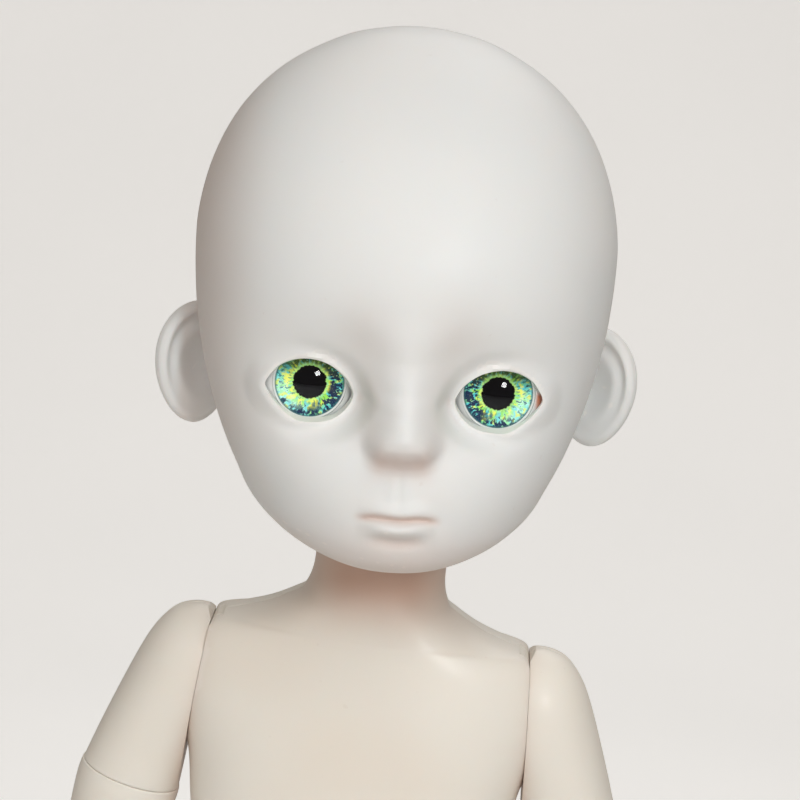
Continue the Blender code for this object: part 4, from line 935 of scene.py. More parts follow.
def hill(value, middle, width):
    return math.exp(-(((value - middle) / width) ** 2) / 2)


def face_spot(across, up, middle, width, level, tall, out):
    """A small round rise, or hollow, at a place on the face."""
    return out * hill(across, middle, width) * hill(up, level, tall)


def nose_rise(x, height):
    """Bridge, tip and wings over a rounded underside with two shallow nostrils."""
    across = abs(x)
    share = min(across / NOSE_HALF_WIDTH, 1.2)
    up = height - NOSE_FOOT - NOSE_FOOT_RISE * share**4
    out, wide = nose_profile(up)
    rise = out * math.exp(-((across / wide) ** NOSE_POWER))
    rise += face_spot(across, height, *NOSE_WING) * smooth_step(0, WING_START, up)
    return rise - face_spot(across, height, *NOSE_GROOVE) - face_spot(across, up, *NOSTRIL)


def nose_profile(up):
    """How far the nose stands out and how wide it is at a height above its foot."""
    if up <= NOSE_ROWS[0][0]:
        return NOSE_ROWS[0][1:]
    for low, high in zip(NOSE_ROWS, NOSE_ROWS[1:]):
        if up <= high[0]:
            plain = (up - low[0]) / (high[0] - low[0])
            share = (smooth_step(0, 1, plain) + plain) / 2
            return tuple(a + (b - a) * share for a, b in zip(low[1:], high[1:]))
    return NOSE_ROWS[-1][1:]


def lip_line(x):
    """Height of the line between the lips: two low arches that meet in a dip."""
    share = min(abs(x) / MOUTH_HALF_WIDTH, 1.3)
    arch = LIP_ARCH * math.sin(math.pi * min(share, 1)) ** 2
    return MOUTH_LEVEL + arch - LIP_DROP * share**3


def mouth_rise(x, height):
    """Both lips, the line between them, the hollow under them and the two ridges above."""
    across = abs(x)
    up = height - lip_line(x)
    rise = 0
    for middle, width, out, near, far in LIP_FORMS:
        faded = 1 - smooth_step(near, far, across / MOUTH_HALF_WIDTH)
        rise += out * hill(up, middle, width) * faded
    rise += face_spot(across, up, *MOUTH_CORNER)
    return rise + face_spot(across, height, *LIP_GROOVE) + face_spot(across, height, *LIP_RIDGES)


def face_rise(x, height):
    """How far the face stands out in front of the plain head at a place on it."""
    rise = 0
    for across, up, wide, tall, out in FACE_FORMS:
        for sign in (LEFT, RIGHT) if across else (LEFT,):
            side = (x / HEAD_HEIGHT - sign * across) / wide
            over = (height / HEAD_HEIGHT - up) / tall
            rise += out * HEAD_HEIGHT * math.exp(-(side * side + over * over) / 2)
    return rise + nose_rise(x, height) + mouth_rise(x, height)


def opening_edge():
    """Angles and distances of a closed smooth curve through the table's points."""
    corners = [(x * EYE_OPENING_WIDTH / 2, z * EYE_OPENING_HEIGHT / 2) for x, z in OPENING_SHARES]
    rows = [corners[-1], *corners, corners[0], corners[1]]
    found = []
    for step in range(len(corners) * OPENING_STEPS):
        x, z = row_between(rows, 1 + step / OPENING_STEPS)
        found.append((math.atan2(z, x) % math.tau, math.hypot(x, z)))
    found.sort()
    before = (found[-1][0] - math.tau, found[-1][1])
    after = (found[0][0] + math.tau, found[0][1])
    return [before, *found, after]


EDGE = opening_edge()
EDGE_ANGLES = [angle for angle, distance in EDGE]


def opening_radius(angle):
    """Distance from the middle of the eye opening to its edge; the nose is at angle zero."""
    turn = angle % math.tau
    index = min(max(bisect.bisect(EDGE_ANGLES, turn), 1), len(EDGE) - 1)
    low, high = EDGE[index - 1], EDGE[index]
    return low[1] + (high[1] - low[1]) * (turn - low[0]) / (high[0] - low[0])


def from_opening(x, height, sign):
    """Angle round the eye opening, with the nose at zero, and distance outside its edge."""
    side = (sign * (EYE_OFFSET + OPENING_SHIFT) - x) * sign
    up = height - EYE_HEIGHT + OPENING_DROP
    angle = math.atan2(up, side)
    return angle, math.hypot(side, up) - opening_radius(angle)


def soft_front(one, two, room):
    """The one that lies further forward, flowing into the other where they cross."""
    near = max(room - abs(one - two), 0) / room
    return min(one, two) - near * near * room / 4


def lid_front(x, height, y):
    """Wraps the lids round the eyeball and blends them into the face."""
    for sign in (LEFT, RIGHT):
        side = x - sign * EYE_OFFSET
        over = height - EYE_HEIGHT
        radius = EYE_RADIUS + CLEARANCE + LID_THICKNESS
        room = radius * radius - side * side - over * over
        ball_y = -EYE_DEPTH - math.sqrt(max(room, 0))
        angle, outside = from_opening(x, height, sign)
        above = smooth_step(-0.25, 0.35, math.sin(angle))
        share = 1 - smooth_step(LID_HOLD, LID_REACH, outside)
        y += max(ball_y - y - LID_ROUNDING, 0) * share * share
        if outside < LID_REACH:
            y = soft_front(y, ball_y, LID_BLEND)
        y += FOLD_DEPTH * hill(outside, FOLD_ABOVE, FOLD_WIDTH) * above
        y += BAG_DEPTH * hill(outside, BAG_BELOW, BAG_WIDTH) * (1 - above)
        y += LID_EDGE_ROUNDING * (1 - smooth_step(0, LID_EDGE_REACH, outside)) ** 2
    return y


def head_rings(columns, rows, wall=1, face_wall=1, with_face=True):
    """Tilted rings from under the jaw to the crown, drawn in by the wall shares."""
    rings = []
    middle = HEAD_HEIGHT / 2
    last = len(HEAD_SHARES) - 1
    for step in range(rows):
        share = step / (rows - 1)
        front_up, back_up, wide, front, back = row_between(HEAD_SHARES, last * crowded(share))
        ring = []
        for column in range(columns):
            even = math.tau * column / columns
            angle = even - FACE_TURN_SHARE * math.sin(even)
            across = math.sin(angle)
            along = -math.cos(angle)
            power = 2 / HEAD_POWER
            x = wide * math.copysign(abs(across) ** power, across) * HEAD_WIDTH / 2 * wall
            reach = -front * face_wall if along < 0 else back * wall
            y = reach * math.copysign(abs(along) ** power, along) * HEAD_DEPTH / 2
            tip = (1 + along) / 2
            height = (front_up + (back_up - front_up) * tip) * HEAD_HEIGHT
            height = middle + (height - middle) * wall
            if with_face and y < 0:
                facing = min(1, -y / (HEAD_DEPTH / 2) / FACE_FADE)
                y -= face_rise(x, height) * facing
                y = lid_front(x, height, y)
            ring.append(Vector((x, y, NECK_LEVEL + height)))
        rings.append(ring)
    return rings


def ear_relief(share, angle):
    """Height of the ear's front face: rolled rim, groove inside it, inner fold and bowl."""
    top = smooth_step(-0.9, 0.5, math.sin(angle))
    outer = smooth_step(-0.75, 0.15, math.cos(angle))
    rim = 0.00060 * hill(share, 0.90, 0.075) * (0.35 + 0.65 * max(top * outer, 0.25))
    groove = -0.00030 * hill(share, 0.74, 0.085) * top * outer
    fold = 0.00018 * hill(share, 0.56, 0.10) * outer
    bowl = -0.00105 * (1 - smooth_step(0.0, 0.80, share))
    return rim + groove + fold + bowl


def ear():
    """Flattened shell with a rolled rim, standing out from the side of the head."""
    rings = []
    for step in range(2 * EAR_ROWS + 1):
        turn = math.pi * step / (2 * EAR_ROWS)
        share = math.sin(turn) ** 0.75
        edge = math.cos(turn)
        ring = []
        for column in range(EAR_COLUMNS):
            angle = math.tau * column / EAR_COLUMNS
            up = math.sin(angle)
            wide = EAR_WIDTH / 2 * (1 + 0.13 * up - 0.05 * up * up)
            y = -EAR_THICKNESS / 2 * math.copysign(abs(edge) ** 0.62, edge) * 0.62
            if edge > 0:
                y -= ear_relief(share, angle)
            else:
                y += EAR_BACK_HOLLOW * (1 - share * share)
            ring.append(Vector((wide * math.cos(angle) * share, y, EAR_HEIGHT / 2 * up * share)))
        rings.append(ring)
    shell = loft("ear", rings)
    turn = Matrix.Rotation(-EAR_FLARE, 4, "Z")
    spot = Matrix.Translation(Vector((EAR_REACH, EAR_SET_BACK, NECK_LEVEL + EAR_LEVEL)))
    shell.data.transform(spot @ turn)
    return shell


def eye_center():
    return Vector((EYE_OFFSET, -EYE_DEPTH, NECK_LEVEL + EYE_HEIGHT))


def eye_opening():
    """Tool with the outline of the open lids, wider at the front so that the lid's edge shows."""
    rings = []
    front = -math.sqrt(EYE_RADIUS**2 - (EYE_OPENING_HEIGHT / 2) ** 2)
    outline = (
        (front - OVERRUN, LID_FLARE),
        (front - LID_BEVEL_FRONT, LID_MARGIN),
        (front + LID_BEVEL_BACK, 0),
        (0, 0),
    )
    for depth, spread in outline:
        ring = []
        for step in range(EYE_SIDES):
            angle = math.tau * step / EYE_SIDES
            radius = opening_radius(angle) + spread
            x = OPENING_SHIFT - radius * math.cos(angle)
            z = radius * math.sin(angle) - OPENING_DROP
            ring.append(Vector((x, depth, z)))
        rings.append(ring)
    return shift(loft("eye_opening", rings), eye_center())


def rest_tilt():
    """Turn of the head at rest about the neck ball."""
    center = Vector((0, SPINE_Y, NECK_LEVEL))
    turn = Matrix.Rotation(HEAD_TURN, 4, "Z") @ Matrix.Rotation(HEAD_TILT, 4, "Y")
    return Matrix.Translation(center) @ turn @ Matrix.Translation(-center)


def make_head():
    """Hollow head shell with ears, open eyes and a neck hole, and its removable back."""
    shell = loft("head_shell", head_rings(HEAD_COLUMNS, HEAD_ROWS))
    left_ear = ear()
    join(shell, mirrored(left_ear, "right ear"))
    join(shell, left_ear)
    size = (CAVITY_COLUMNS, CAVITY_ROWS)
    inside = head_rings(*size, HEAD_WALL_SHARE, HEAD_FACE_WALL_SHARE, with_face=False)
    cavity = loft("head cavity", inside)
    neck = Vector((0, SPINE_Y, NECK_LEVEL))
    floor = ball("floor", NECK_RADIUS + CLEARANCE + FLOOR_THICKNESS, WIDE_SIDES)
    cut(cavity, shift(floor, neck))
    cut(shell, cavity)
    cut(shell, shift(ball("neck seat", NECK_RADIUS + CLEARANCE, WIDE_SIDES), neck))
    cut(shell, shift(rod("neck hole", FLOOR_HOLE_RADIUS, 0, CUP_RADIUS + CUP_RADIUS), neck))
    for side in (LEFT, RIGHT):
        socket = aim(ball("socket", EYE_RADIUS + CLEARANCE, WIDE_SIDES), "-Y")
        cut(shell, on_that_side(shift(socket, eye_center()), side))
        cut(shell, on_that_side(eye_opening(), side))
    cap = copy_of(shell, "head_cap")
    edge = Vector((0, CAP_SEAM_Y, NECK_LEVEL + HEAD_HEIGHT / 2))
    foot = CAP_FOOT - HEAD_HEIGHT / 2
    wide = OVERRUN
    behind = box("behind", (-wide, 0, foot), (wide, wide, wide))
    slant = Matrix.Translation(edge) @ Matrix.Rotation(CAP_SLANT, 4, "X")
    cut(shell, place(behind, slant))
    gap = CLEARANCE
    keep = box("cap room", (-wide, gap, foot + gap), (wide, wide, wide))
    combine(cap, place(keep, slant), "INTERSECT")
    return shell, cap


def make_eye():
    """Eyeball with a round recess in front, the iris disc in it and the clear dome over both."""
    recess = IRIS_RADIUS + IRIS_GAP
    mouth = math.sqrt(EYE_RADIUS**2 - recess**2)
    profile = arc(EYE_RADIUS, -math.pi / 2, math.atan2(mouth, recess), 7)
    floor = mouth - IRIS_RECESS
    eyeball = turned("eyeball", [*profile, (recess, floor)], WIDE_SIDES)
    low = floor + CLEARANCE
    top = low + IRIS_THICKNESS
    inner = IRIS_RADIUS * IRIS_BOWL_SHARE
    bowl = [(IRIS_RADIUS, low), (IRIS_RADIUS, top)]
    for step in range(1, IRIS_BOWL_STEPS):
        share = step / IRIS_BOWL_STEPS
        radius = IRIS_RADIUS + (inner - IRIS_RADIUS) * share
        bowl.append((radius, top - IRIS_BOWL_DEPTH * math.sin(math.pi / 2 * share)))
    bowl.append((0, top - PUPIL_DEPTH))
    iris = turned("iris", bowl, WIDE_SIDES)
    base = top + CLEARANCE
    dome_radius = (IRIS_RADIUS * IRIS_RADIUS + CORNEA_BULGE**2) / (2 * CORNEA_BULGE)
    start = math.asin((dome_radius - CORNEA_BULGE) / dome_radius)
    crown = arc(dome_radius, start, math.pi / 2, 3, base + CORNEA_EDGE + CORNEA_BULGE - dome_radius)
    cornea = turned("cornea", [(IRIS_RADIUS, base), *crown], WIDE_SIDES)
    for part in (eyeball, iris, cornea):
        aim(part, "-Y")
        place(part, Matrix.Translation(eye_center()))
    return eyeball, iris, cornea


# Neck joint


def cup_profile(gap):
    low = -CUP_DEPTH - gap
    flange = CUP_RADIUS + CUP_FLANGE + gap
    top = CUP_FLANGE_HEIGHT - CUP_DEPTH + gap
    return [(flange, low), (flange, top), (CUP_RADIUS + gap, top)]


def make_neck_joint():
    """A cup that turns in the neck, and the ball, stem and saucer that hold the head down."""
    place_at = Matrix.Translation(Vector((0, SPINE_Y, NECK_LEVEL)))
    cup = turned("neck_swivel", [*cup_profile(0), (CUP_RADIUS, CUP_RISE)])
    cut(cup, ball("ball seat", NECK_BALL_RADIUS + CLEARANCE))
    mouth = math.tan(CUP_MOUTH_ANGLE)
    reach = CUP_RISE + CUP_RISE
    cut(cup, turned("mouth", ((0, 0), (reach * mouth, reach))))
    inner = NECK_RADIUS + CLEARANCE + FLOOR_THICKNESS + CLEARANCE
    outer = inner + SAUCER_THICKNESS
    edge = math.pi / 2 - SAUCER_ANGLE
    stem = math.acos(NECK_STEM_RADIUS / NECK_BALL_RADIUS)
    under = math.acos(NECK_STEM_RADIUS / inner)
    profile = arc(NECK_BALL_RADIUS, -math.pi / 2, stem, 7)
    profile += arc(inner, under, edge, 3)
    profile += arc(outer, edge, math.pi / 2, 3)
    anchor = turned("neck_anchor", profile, BALL_SIDES)
    return place(cup, place_at), place(anchor, place_at)


# Shoulder and hip joints


def peg(joint, gap):
    """Round peg with a head, out of the side plane, or the room for it when there is a gap."""
    neck_end = joint.peg_length - gap
    head_end = joint.peg_length + joint.head_length + gap
    start = -joint.disc_depth / 2
    radius = joint.peg_radius + gap
    head = joint.head_radius + gap
    profile = ((radius, start), (radius, neck_end), (head, neck_end), (head, head_end))
    return aim(turned("peg", profile, PEG_SIDES), "X")


def lid_plate(name, joint, gap):
    """Lever and knuckle in one plate across Y, or the room for them when there is a gap."""
    back = -joint.disc_depth * LEVER_DEPTH_SHARE - gap
    pivot = joint.pivot()
    radius = joint.knuckle_radius + gap
    meeting = math.tau - math.acos((back - pivot.x) / radius)
    outline = [(back, 0), (gap - SEAM, 0)]
    for step in range(KNUCKLE_STEPS + 1):
        angle = meeting * step / KNUCKLE_STEPS
        outline.append((pivot.x + radius * math.cos(angle), pivot.z + radius * math.sin(angle)))
    half = joint.knuckle_width + gap
    return loft(name, [[Vector((x, y, z)) for x, z in outline] for y in (-half, half)])


def make_hub(name, joint):
    """The lid: a knuckle on the corner, a lever down from it, the disc and the peg."""
    disc = aim(rod(name, joint.disc_radius, -joint.disc_depth, 0, WIDE_SIDES), "X")
    join(disc, lid_plate("lever", joint, 0))
    join(disc, peg(joint, 0))
    return place(disc, joint.matrix())


def beyond_side(joint):
    """All that lies outside the flat side plane and the rounded corner above it."""
    pivot = joint.pivot()
    radius = joint.knuckle_radius
    wide = OVERRUN
    outline = [(0, -wide)]
    for step in range(CORNER_STEPS + 1):
        angle = math.pi / 2 * step / CORNER_STEPS
        outline.append((pivot.x + radius * math.cos(angle), pivot.z + radius * math.sin(angle)))
    outline += [(pivot.x, wide), (wide, wide), (wide, -wide)]
    return loft("beyond", [[Vector((x, y, z)) for x, z in outline] for y in (-wide, wide)])


def cut_lid_seat(trunk, joint, side):
    """Cuts the flat side plane, the rounded corner and the pocket for the hub."""
    depth = joint.disc_depth + CLEARANCE
    radius = joint.disc_radius + LID_ROOM
    disc = aim(rod("disc room", radius, -depth, depth, WIDE_SIDES), "X")
    plate = lid_plate("lever room", joint, CLEARANCE)
    for tool in (beyond_side(joint), disc, plate):
        cut(trunk, on_that_side(place(tool, joint.matrix()), side))


def cut_lid_side(piece, joint):
    """Cuts a limb flat against the side plane, eases its top edge and makes room for the peg."""
    wide = OVERRUN
    inside = box("inside", (-wide, -wide, -wide), (SIDE_GAP, wide, wide))
    cut(piece, place(inside, joint.matrix()))
    edge = Vector((SIDE_GAP, 0, joint.reach + joint.knuckle_radius / 2))
    eased = joint.matrix() @ Matrix.Translation(edge) @ Matrix.Rotation(TOP_EDGE_SLOPE, 4, "Y")
    cut(piece, place(box("eased edge", (-wide, -wide, 0), (0, wide, wide)), eased))
    cut(piece, place(peg(joint, CLEARANCE), joint.matrix()))


# Trunk


def trunk_ring(level, half_width, front, back, power=2):
    return rounded_ring(
        level, half_width, front, back, power=power, count=TRUNK_COLUMNS, seam=True
    )


def trunk_rings(rows, level, length, half_width, depth, power):
    return [
        trunk_ring(level + length * up, half_width * wide, depth * front, depth * back, power)
        for up, wide, front, back in smooth_rows(rows)
    ]


def neck_rings(shoulder_row):
    """Rings that flow from the top of the shoulders into the round neck and its dome."""
    up, wide, front, back = shoulder_row
    low = BEND_LEVEL + (NECK_LEVEL - BEND_LEVEL) * up
    high = NECK_LEVEL - NECK_RADIUS * NECK_FLOW_TOP_SHARE
    start = (CHEST_HALF_WIDTH * wide, CHEST_DEPTH * front, CHEST_DEPTH * back, CHEST_POWER)
    end = (NECK_RADIUS, NECK_RADIUS, NECK_RADIUS, 2)
    rings = []
    for step in range(1, NECK_ROWS + 1):
        share = step / NECK_ROWS
        ease = 1 - (1 - share) ** NECK_FLOW_POWER
        sizes = (a + (b - a) * ease for a, b in zip(start, end))
        rings.append(trunk_ring(low + (high - low) * share, *sizes))
    for step in range(NECK_DOME_ROWS):
        rise = NECK_DOME_TURN * step / (NECK_DOME_ROWS - 1)
        radius = NECK_RADIUS * math.cos(rise)
        level = NECK_LEVEL + NECK_RADIUS * math.sin(rise)
        rings.append(trunk_ring(level, radius, radius, radius))
    return rings


def make_chest():
    """Chest and neck in two halves, hollow, with the neck bore and the waist barrel's seat."""
    at_spine = Matrix.Translation(Vector((0, SPINE_Y, 0)))
    length = NECK_LEVEL - BEND_LEVEL
    size = (CHEST_HALF_WIDTH, CHEST_DEPTH)
    rings = trunk_rings(CHEST_SHARES, BEND_LEVEL, length, *size, CHEST_POWER)
    rings += neck_rings(CHEST_SHARES[-1])
    chest = place(loft("chest", rings), at_spine)
    inner = [measure * CHEST_WALL_SHARE for measure in size]
    rows = CHEST_SHARES[CHEST_HOLLOW_ROWS]
    hollow = trunk_rings(rows, BEND_LEVEL, length, *inner, CHEST_POWER)
    cut(chest, place(loft("chest hollow", hollow), at_spine))
    bore = [*cup_profile(CLEARANCE), (CUP_RADIUS + CLEARANCE, NECK_RADIUS + CUP_RADIUS)]
    at_neck = Matrix.Translation(Vector((0, SPINE_Y, NECK_LEVEL)))
    cut(chest, place(turned("neck bore", bore), at_neck))
    reach = ABDOMEN_HALF_WIDTH + CLEARANCE
    seat = aim(rod("barrel seat", BARREL_RADIUS + CLEARANCE, -reach, reach, WIDE_SIDES), "X")
    at_bend = Matrix.Translation(Vector((0, SPINE_Y, BEND_LEVEL)))
    cut(chest, place(seat, at_bend))
    for side in (LEFT, RIGHT):
        cut_lid_seat(chest, SHOULDER, side)
    front, back = halves(chest, "chest_front", "chest_back")
    depth = CHEST_DEPTH * CHEST_SCREW_DEPTH_SHARE
    cut_screw_holes(back, CHEST_SCREW_SPACING, SHOULDER_LEVEL, depth)
    return front, back


def cut_screw_holes(back, spacing, level, depth):
    """Two round recesses on the back of a trunk half."""
    start = -depth - OVERRUN
    end = SCREW_HOLE_DEPTH - depth
    for side in (LEFT, RIGHT):
        hole = aim(rod("screw hole", SCREW_HOLE_RADIUS, start, end, PIN_SIDES), "-Y")
        center = Vector((side * spacing / 2, SPINE_Y, level))
        cut(back, place(hole, Matrix.Translation(center)))


def waist_peg(gap):
    neck_end = gap - WAIST_PEG_LENGTH
    end = -(WAIST_PEG_LENGTH + WAIST_HEAD_LENGTH + gap)
    radius = WAIST_PEG_RADIUS + gap
    head = WAIST_HEAD_RADIUS + gap
    profile = ((head, end), (head, neck_end), (radius, neck_end), (radius, CLEARANCE + CLEARANCE))
    at_waist = Matrix.Translation(Vector((0, SPINE_Y, WAIST_LEVEL)))
    return place(turned("waist peg", profile), at_waist)


def make_abdomen():
    """Barrel that the chest bends on, the waist below it and the peg it turns on."""
    rings = []
    for up, wide, deep in smooth_rows(WAIST_SHARES):
        level = WAIST_LEVEL + WAIST_TO_BEND * up
        half = BARREL_RADIUS * deep
        sizes = (ABDOMEN_HALF_WIDTH * wide, half, half)
        rings.append(rounded_ring(level, *sizes, power=ABDOMEN_POWER, count=TRUNK_COLUMNS))
    waist = place(loft("abdomen", rings), Matrix.Translation(Vector((0, SPINE_Y, 0))))
    reach = ABDOMEN_HALF_WIDTH
    barrel = soften(rod("barrel", BARREL_RADIUS, -reach, reach, WIDE_SIDES), BARREL_EDGE)
    at_bend = Matrix.Translation(Vector((0, SPINE_Y, BEND_LEVEL)))
    join(waist, place(aim(barrel, "X"), at_bend))
    join(waist, waist_peg(0))
    return waist


def make_pelvis():
    """Pelvis in two halves, with slanted flat sides for the legs and the waist bore."""
    length = WAIST_LEVEL - HIP_LEVEL + CROTCH_DROP
    rows = [(-drop, wide, front, back) for drop, wide, front, back in PELVIS_SHARES]
    size = (PELVIS_HALF_WIDTH, PELVIS_DEPTH)
    rings = trunk_rings(rows, WAIST_LEVEL, length, *size, PELVIS_POWER)
    pelvis = place(loft("pelvis", rings), Matrix.Translation(Vector((0, SPINE_Y, 0))))
    for side in (LEFT, RIGHT):
        cut_lid_seat(pelvis, HIP, side)
    cut(pelvis, waist_peg(CLEARANCE))
    front, back = halves(pelvis, "pelvis_front", "pelvis_back")
    level = WAIST_LEVEL - HIP_TO_WAIST / 3
    depth = PELVIS_DEPTH * PELVIS_SCREW_DEPTH_SHARE
    cut_screw_holes(back, PELVIS_SCREW_SPACING, level, depth)
    return front, back


# Limbs


def limb(name, rows, low, high, width, depth, power=LIMB_POWER, seam=False):
    """Skins a limb between two levels of its own frame from a table of shares."""
    rings = []
    ended = round_ends(smooth_rows(rows), high - low, high=not seam)
    for up, middle, wide, front, back, inset in ended:
        sizes = (width * wide, depth * front, depth * back)
        sizes = (max(size - inset, END_ROUND) for size in sizes)
        level = low + (high - low) * up
        rings.append(rounded_ring(level, *sizes, middle * width, power, seam=seam))
    return loft(name, rings)


def down(distance):
    return Vector((0, 0, -distance))


def headed_peg(radius, length, head_radius, head_length, gap):
    """Upright peg with a head on its upper end, from level zero of its frame."""
    neck_end = length - gap
    end = length + head_length + gap
    profile = (
        (radius + gap, -CLEARANCE - CLEARANCE),
        (radius + gap, neck_end),
        (head_radius + gap, neck_end),
        (head_radius + gap, end),
    )
    return turned("peg", profile, PEG_SIDES)


def add_fork(piece, link, downward):
    """Rounds the end of a limb on its pin at the origin and opens a slot for the link."""
    end = soften(rod("end", link.radius, -link.half_width, link.half_width), link.radius / 5)
    join(piece, aim(end, "X"))
    slot = link.link_width + CLEARANCE
    floor = link.link_radius + CLEARANCE
    low, high = (-OVERRUN, floor) if downward else (-floor, OVERRUN)
    cut(piece, box("slot", (-slot, -OVERRUN, low), (slot, OVERRUN, high)))
    reach = (slot + link.half_width) / 2
    join(piece, aim(rod("pin", link.pin_radius, -reach, reach, PIN_SIDES), "X"))


def make_link(name, link, matrix):
    """Flat link with a bore at each end, hung from its upper pin at the origin."""
    outline = []
    for start, drop in ((0, 0), (math.pi, link.span)):
        for step in range(LINK_STEPS + 1):
            angle = start + math.pi * step / LINK_STEPS
            y = link.link_radius * math.cos(angle)
            outline.append((y, link.link_radius * math.sin(angle) - drop))
    ends = (-link.link_width, link.link_width)
    piece = loft(name, [[Vector((x, y, z)) for y, z in outline] for x in ends])
    for level in (0, link.span):
        bore = rod("bore", link.pin_radius + CLEARANCE, -OVERRUN, OVERRUN, PIN_SIDES)
        cut(piece, shift(aim(bore, "X"), down(level)))
    return place(piece, matrix)


def make_ball_peg(name, joint, matrix):
    """Ball at the origin with a stem up into the limb above."""
    profile = arc(joint.radius, -math.pi / 2, math.acos(joint.stem_radius / joint.radius), 6)
    profile.append((joint.stem_radius, joint.stem_length))
    return place(turned(name, profile, PEG_SIDES), matrix)


def arm_matrix(distance):
    """Frame on the arm's axis, this far down from the shoulder."""
    out = Vector((math.cos(SHOULDER.lean), 0, -math.sin(SHOULDER.lean)))
    start = SHOULDER.origin() + out * ARM_OFFSET
    lean = Matrix.Rotation(ARM_LEAN, 4, "Y")
    return Matrix.Translation(start + lean @ down(distance)) @ lean


def leg_matrix(level):
    return Matrix.Translation(Vector((THIGH_AXIS, SPINE_Y, level)))


def make_sleeve(stem, rows, low, high, width, depth, peg, peg_level, matrix, joint):
    """Two halves of a sleeve with a dome, cut flat for its lid and bored for its turning peg."""
    shell = limb(stem, rows, low, high, width, depth, seam=True)
    cut(shell, shift(headed_peg(*peg, CLEARANCE), Vector((0, 0, peg_level))))
    cut_lid_side(place(shell, matrix), joint)
    return halves(shell, stem + "_front", stem + "_back")


def make_turning_piece(name, rows, length, width, depth, peg, link, matrix):
    """The piece below a sleeve: the peg that it turns on above, a fork for the link below."""
    piece = limb(name, rows, 0, length, width, depth)
    join(piece, shift(headed_peg(*peg, 0), Vector((0, 0, length))))
    add_fork(piece, link, downward=True)
    return place(piece, matrix)


def make_lower_limb(name, rows, length, width, link, joint, matrix):
    """Forearm or shin: a fork for the link above, room for the ball and its stem below."""
    piece = limb(name, rows, joint.rim + joint.gap - length, 0, width, width)
    add_fork(piece, link, downward=False)
    end = joint.stem_length + CLEARANCE
    cut(piece, shift(rod("bore", joint.stem_radius + CLEARANCE, 0, end, PIN_SIDES), down(length)))
    cut(piece, shift(ball("seat", joint.radius + CLEARANCE), down(length)))
    return place(piece, matrix)


def make_hand(matrix):
    """Palm with four fingers and a thumb, and the socket for the wrist ball."""
    size = (PALM_HALF_THICKNESS, PALM_HALF_BREADTH)
    hand = limb("hand", PALM_SHARES, WRIST.rim - PALM_LENGTH, WRIST.rim, *size, HAND_POWER)
    root = -PALM_LENGTH + FINGER_RADIUS
    for across, length in FINGER_SHARES:
        finger = make_finger(FINGER_RADIUS, FINGER_LENGTH * length + FINGER_RADIUS)
        join(hand, shift(finger, Vector((0, across * FINGER_SPACING, root))))
    thumb = make_finger(THUMB_RADIUS, THUMB_LENGTH)
    thumb.data.transform(Matrix.Rotation(THUMB_TURN, 4, "X"))
    across, along = THUMB_PLACE
    join(hand, shift(thumb, Vector((0, -PALM_HALF_BREADTH * across, -PALM_LENGTH * along))))
    cut(hand, ball("socket", WRIST.radius + CLEARANCE))
    return place(hand, matrix)


def make_finger(radius, length):
    """Tapered finger pointing down from the origin, with a round tip."""
    rings = []
    for along, share in smooth_rows(FINGER_TAPER):
        half = radius * share
        rings.append(rounded_ring(-length * along, half, half, half, count=PIN_SIDES))
    return loft("finger", rings)


def make_foot(matrix):
    """Flat soled foot with the socket for the ankle ball."""
    rings = []
    height = ANKLE_HEIGHT + ANKLE.rim
    for up, wide, front, back, inset in round_ends(smooth_rows(FOOT_SHARES), height):
        sizes = (FOOT_HALF_WIDTH * wide, FOOT_FRONT * front, FOOT_BACK * back)
        sizes = (size - inset for size in sizes)
        level = height * up - ANKLE_HEIGHT
        rings.append(rounded_ring(level, *sizes, power=FOOT_POWER, count=TRUNK_COLUMNS))
    foot = loft("foot", rings)
    cut(foot, ball("socket", ANKLE.radius + CLEARANCE))
    return place(foot, matrix)


def arm_pieces():
    """Each piece of the left arm: its name, the body it rides on, its material and its object."""
    elbow = arm_matrix(UPPER_ARM_LENGTH)
    forearm = arm_matrix(UPPER_ARM_LENGTH + ELBOW.span)
    wrist = arm_matrix(UPPER_ARM_LENGTH + ELBOW.span + FOREARM_LENGTH)
    span = (SIDE_GAP - SLEEVE_LENGTH, SLEEVE_DOME)
    front, back = make_sleeve(
        "upper_arm",
        SLEEVE_SHARES,
        *span,
        SLEEVE_WIDTH,
        SLEEVE_DEPTH,
        ARM_PEG,
        -SLEEVE_LENGTH,
        arm_matrix(0),
        SHOULDER,
    )
    size = (UPPER_ARM_LENGTH - SLEEVE_LENGTH, BICEP_WIDTH, BICEP_WIDTH)
    bicep = make_turning_piece("bicep", BICEP_SHARES, *size, ARM_PEG, ELBOW, elbow)
    size = (FOREARM_LENGTH, FOREARM_WIDTH)
    lower = make_lower_limb("forearm", FOREARM_SHARES, *size, ELBOW, WRIST, forearm)
    return (
        ("shoulder_hub", "shoulder_hub", "joint_plastic", make_hub("shoulder_hub", SHOULDER)),
        ("upper_arm_front", "upper_arm", "body_plastic", front),
        ("upper_arm_back", "upper_arm", "body_plastic", back),
        ("bicep", "bicep", "body_plastic", bicep),
        ("elbow_link", "elbow_link", "joint_plastic", make_link("elbow_link", ELBOW, elbow)),
        ("forearm", "forearm", "body_plastic", lower),
        ("wrist_ball", "wrist_ball", "joint_plastic", make_ball_peg("wrist_ball", WRIST, wrist)),
        ("hand", "hand", "body_plastic", make_hand(wrist)),
    )


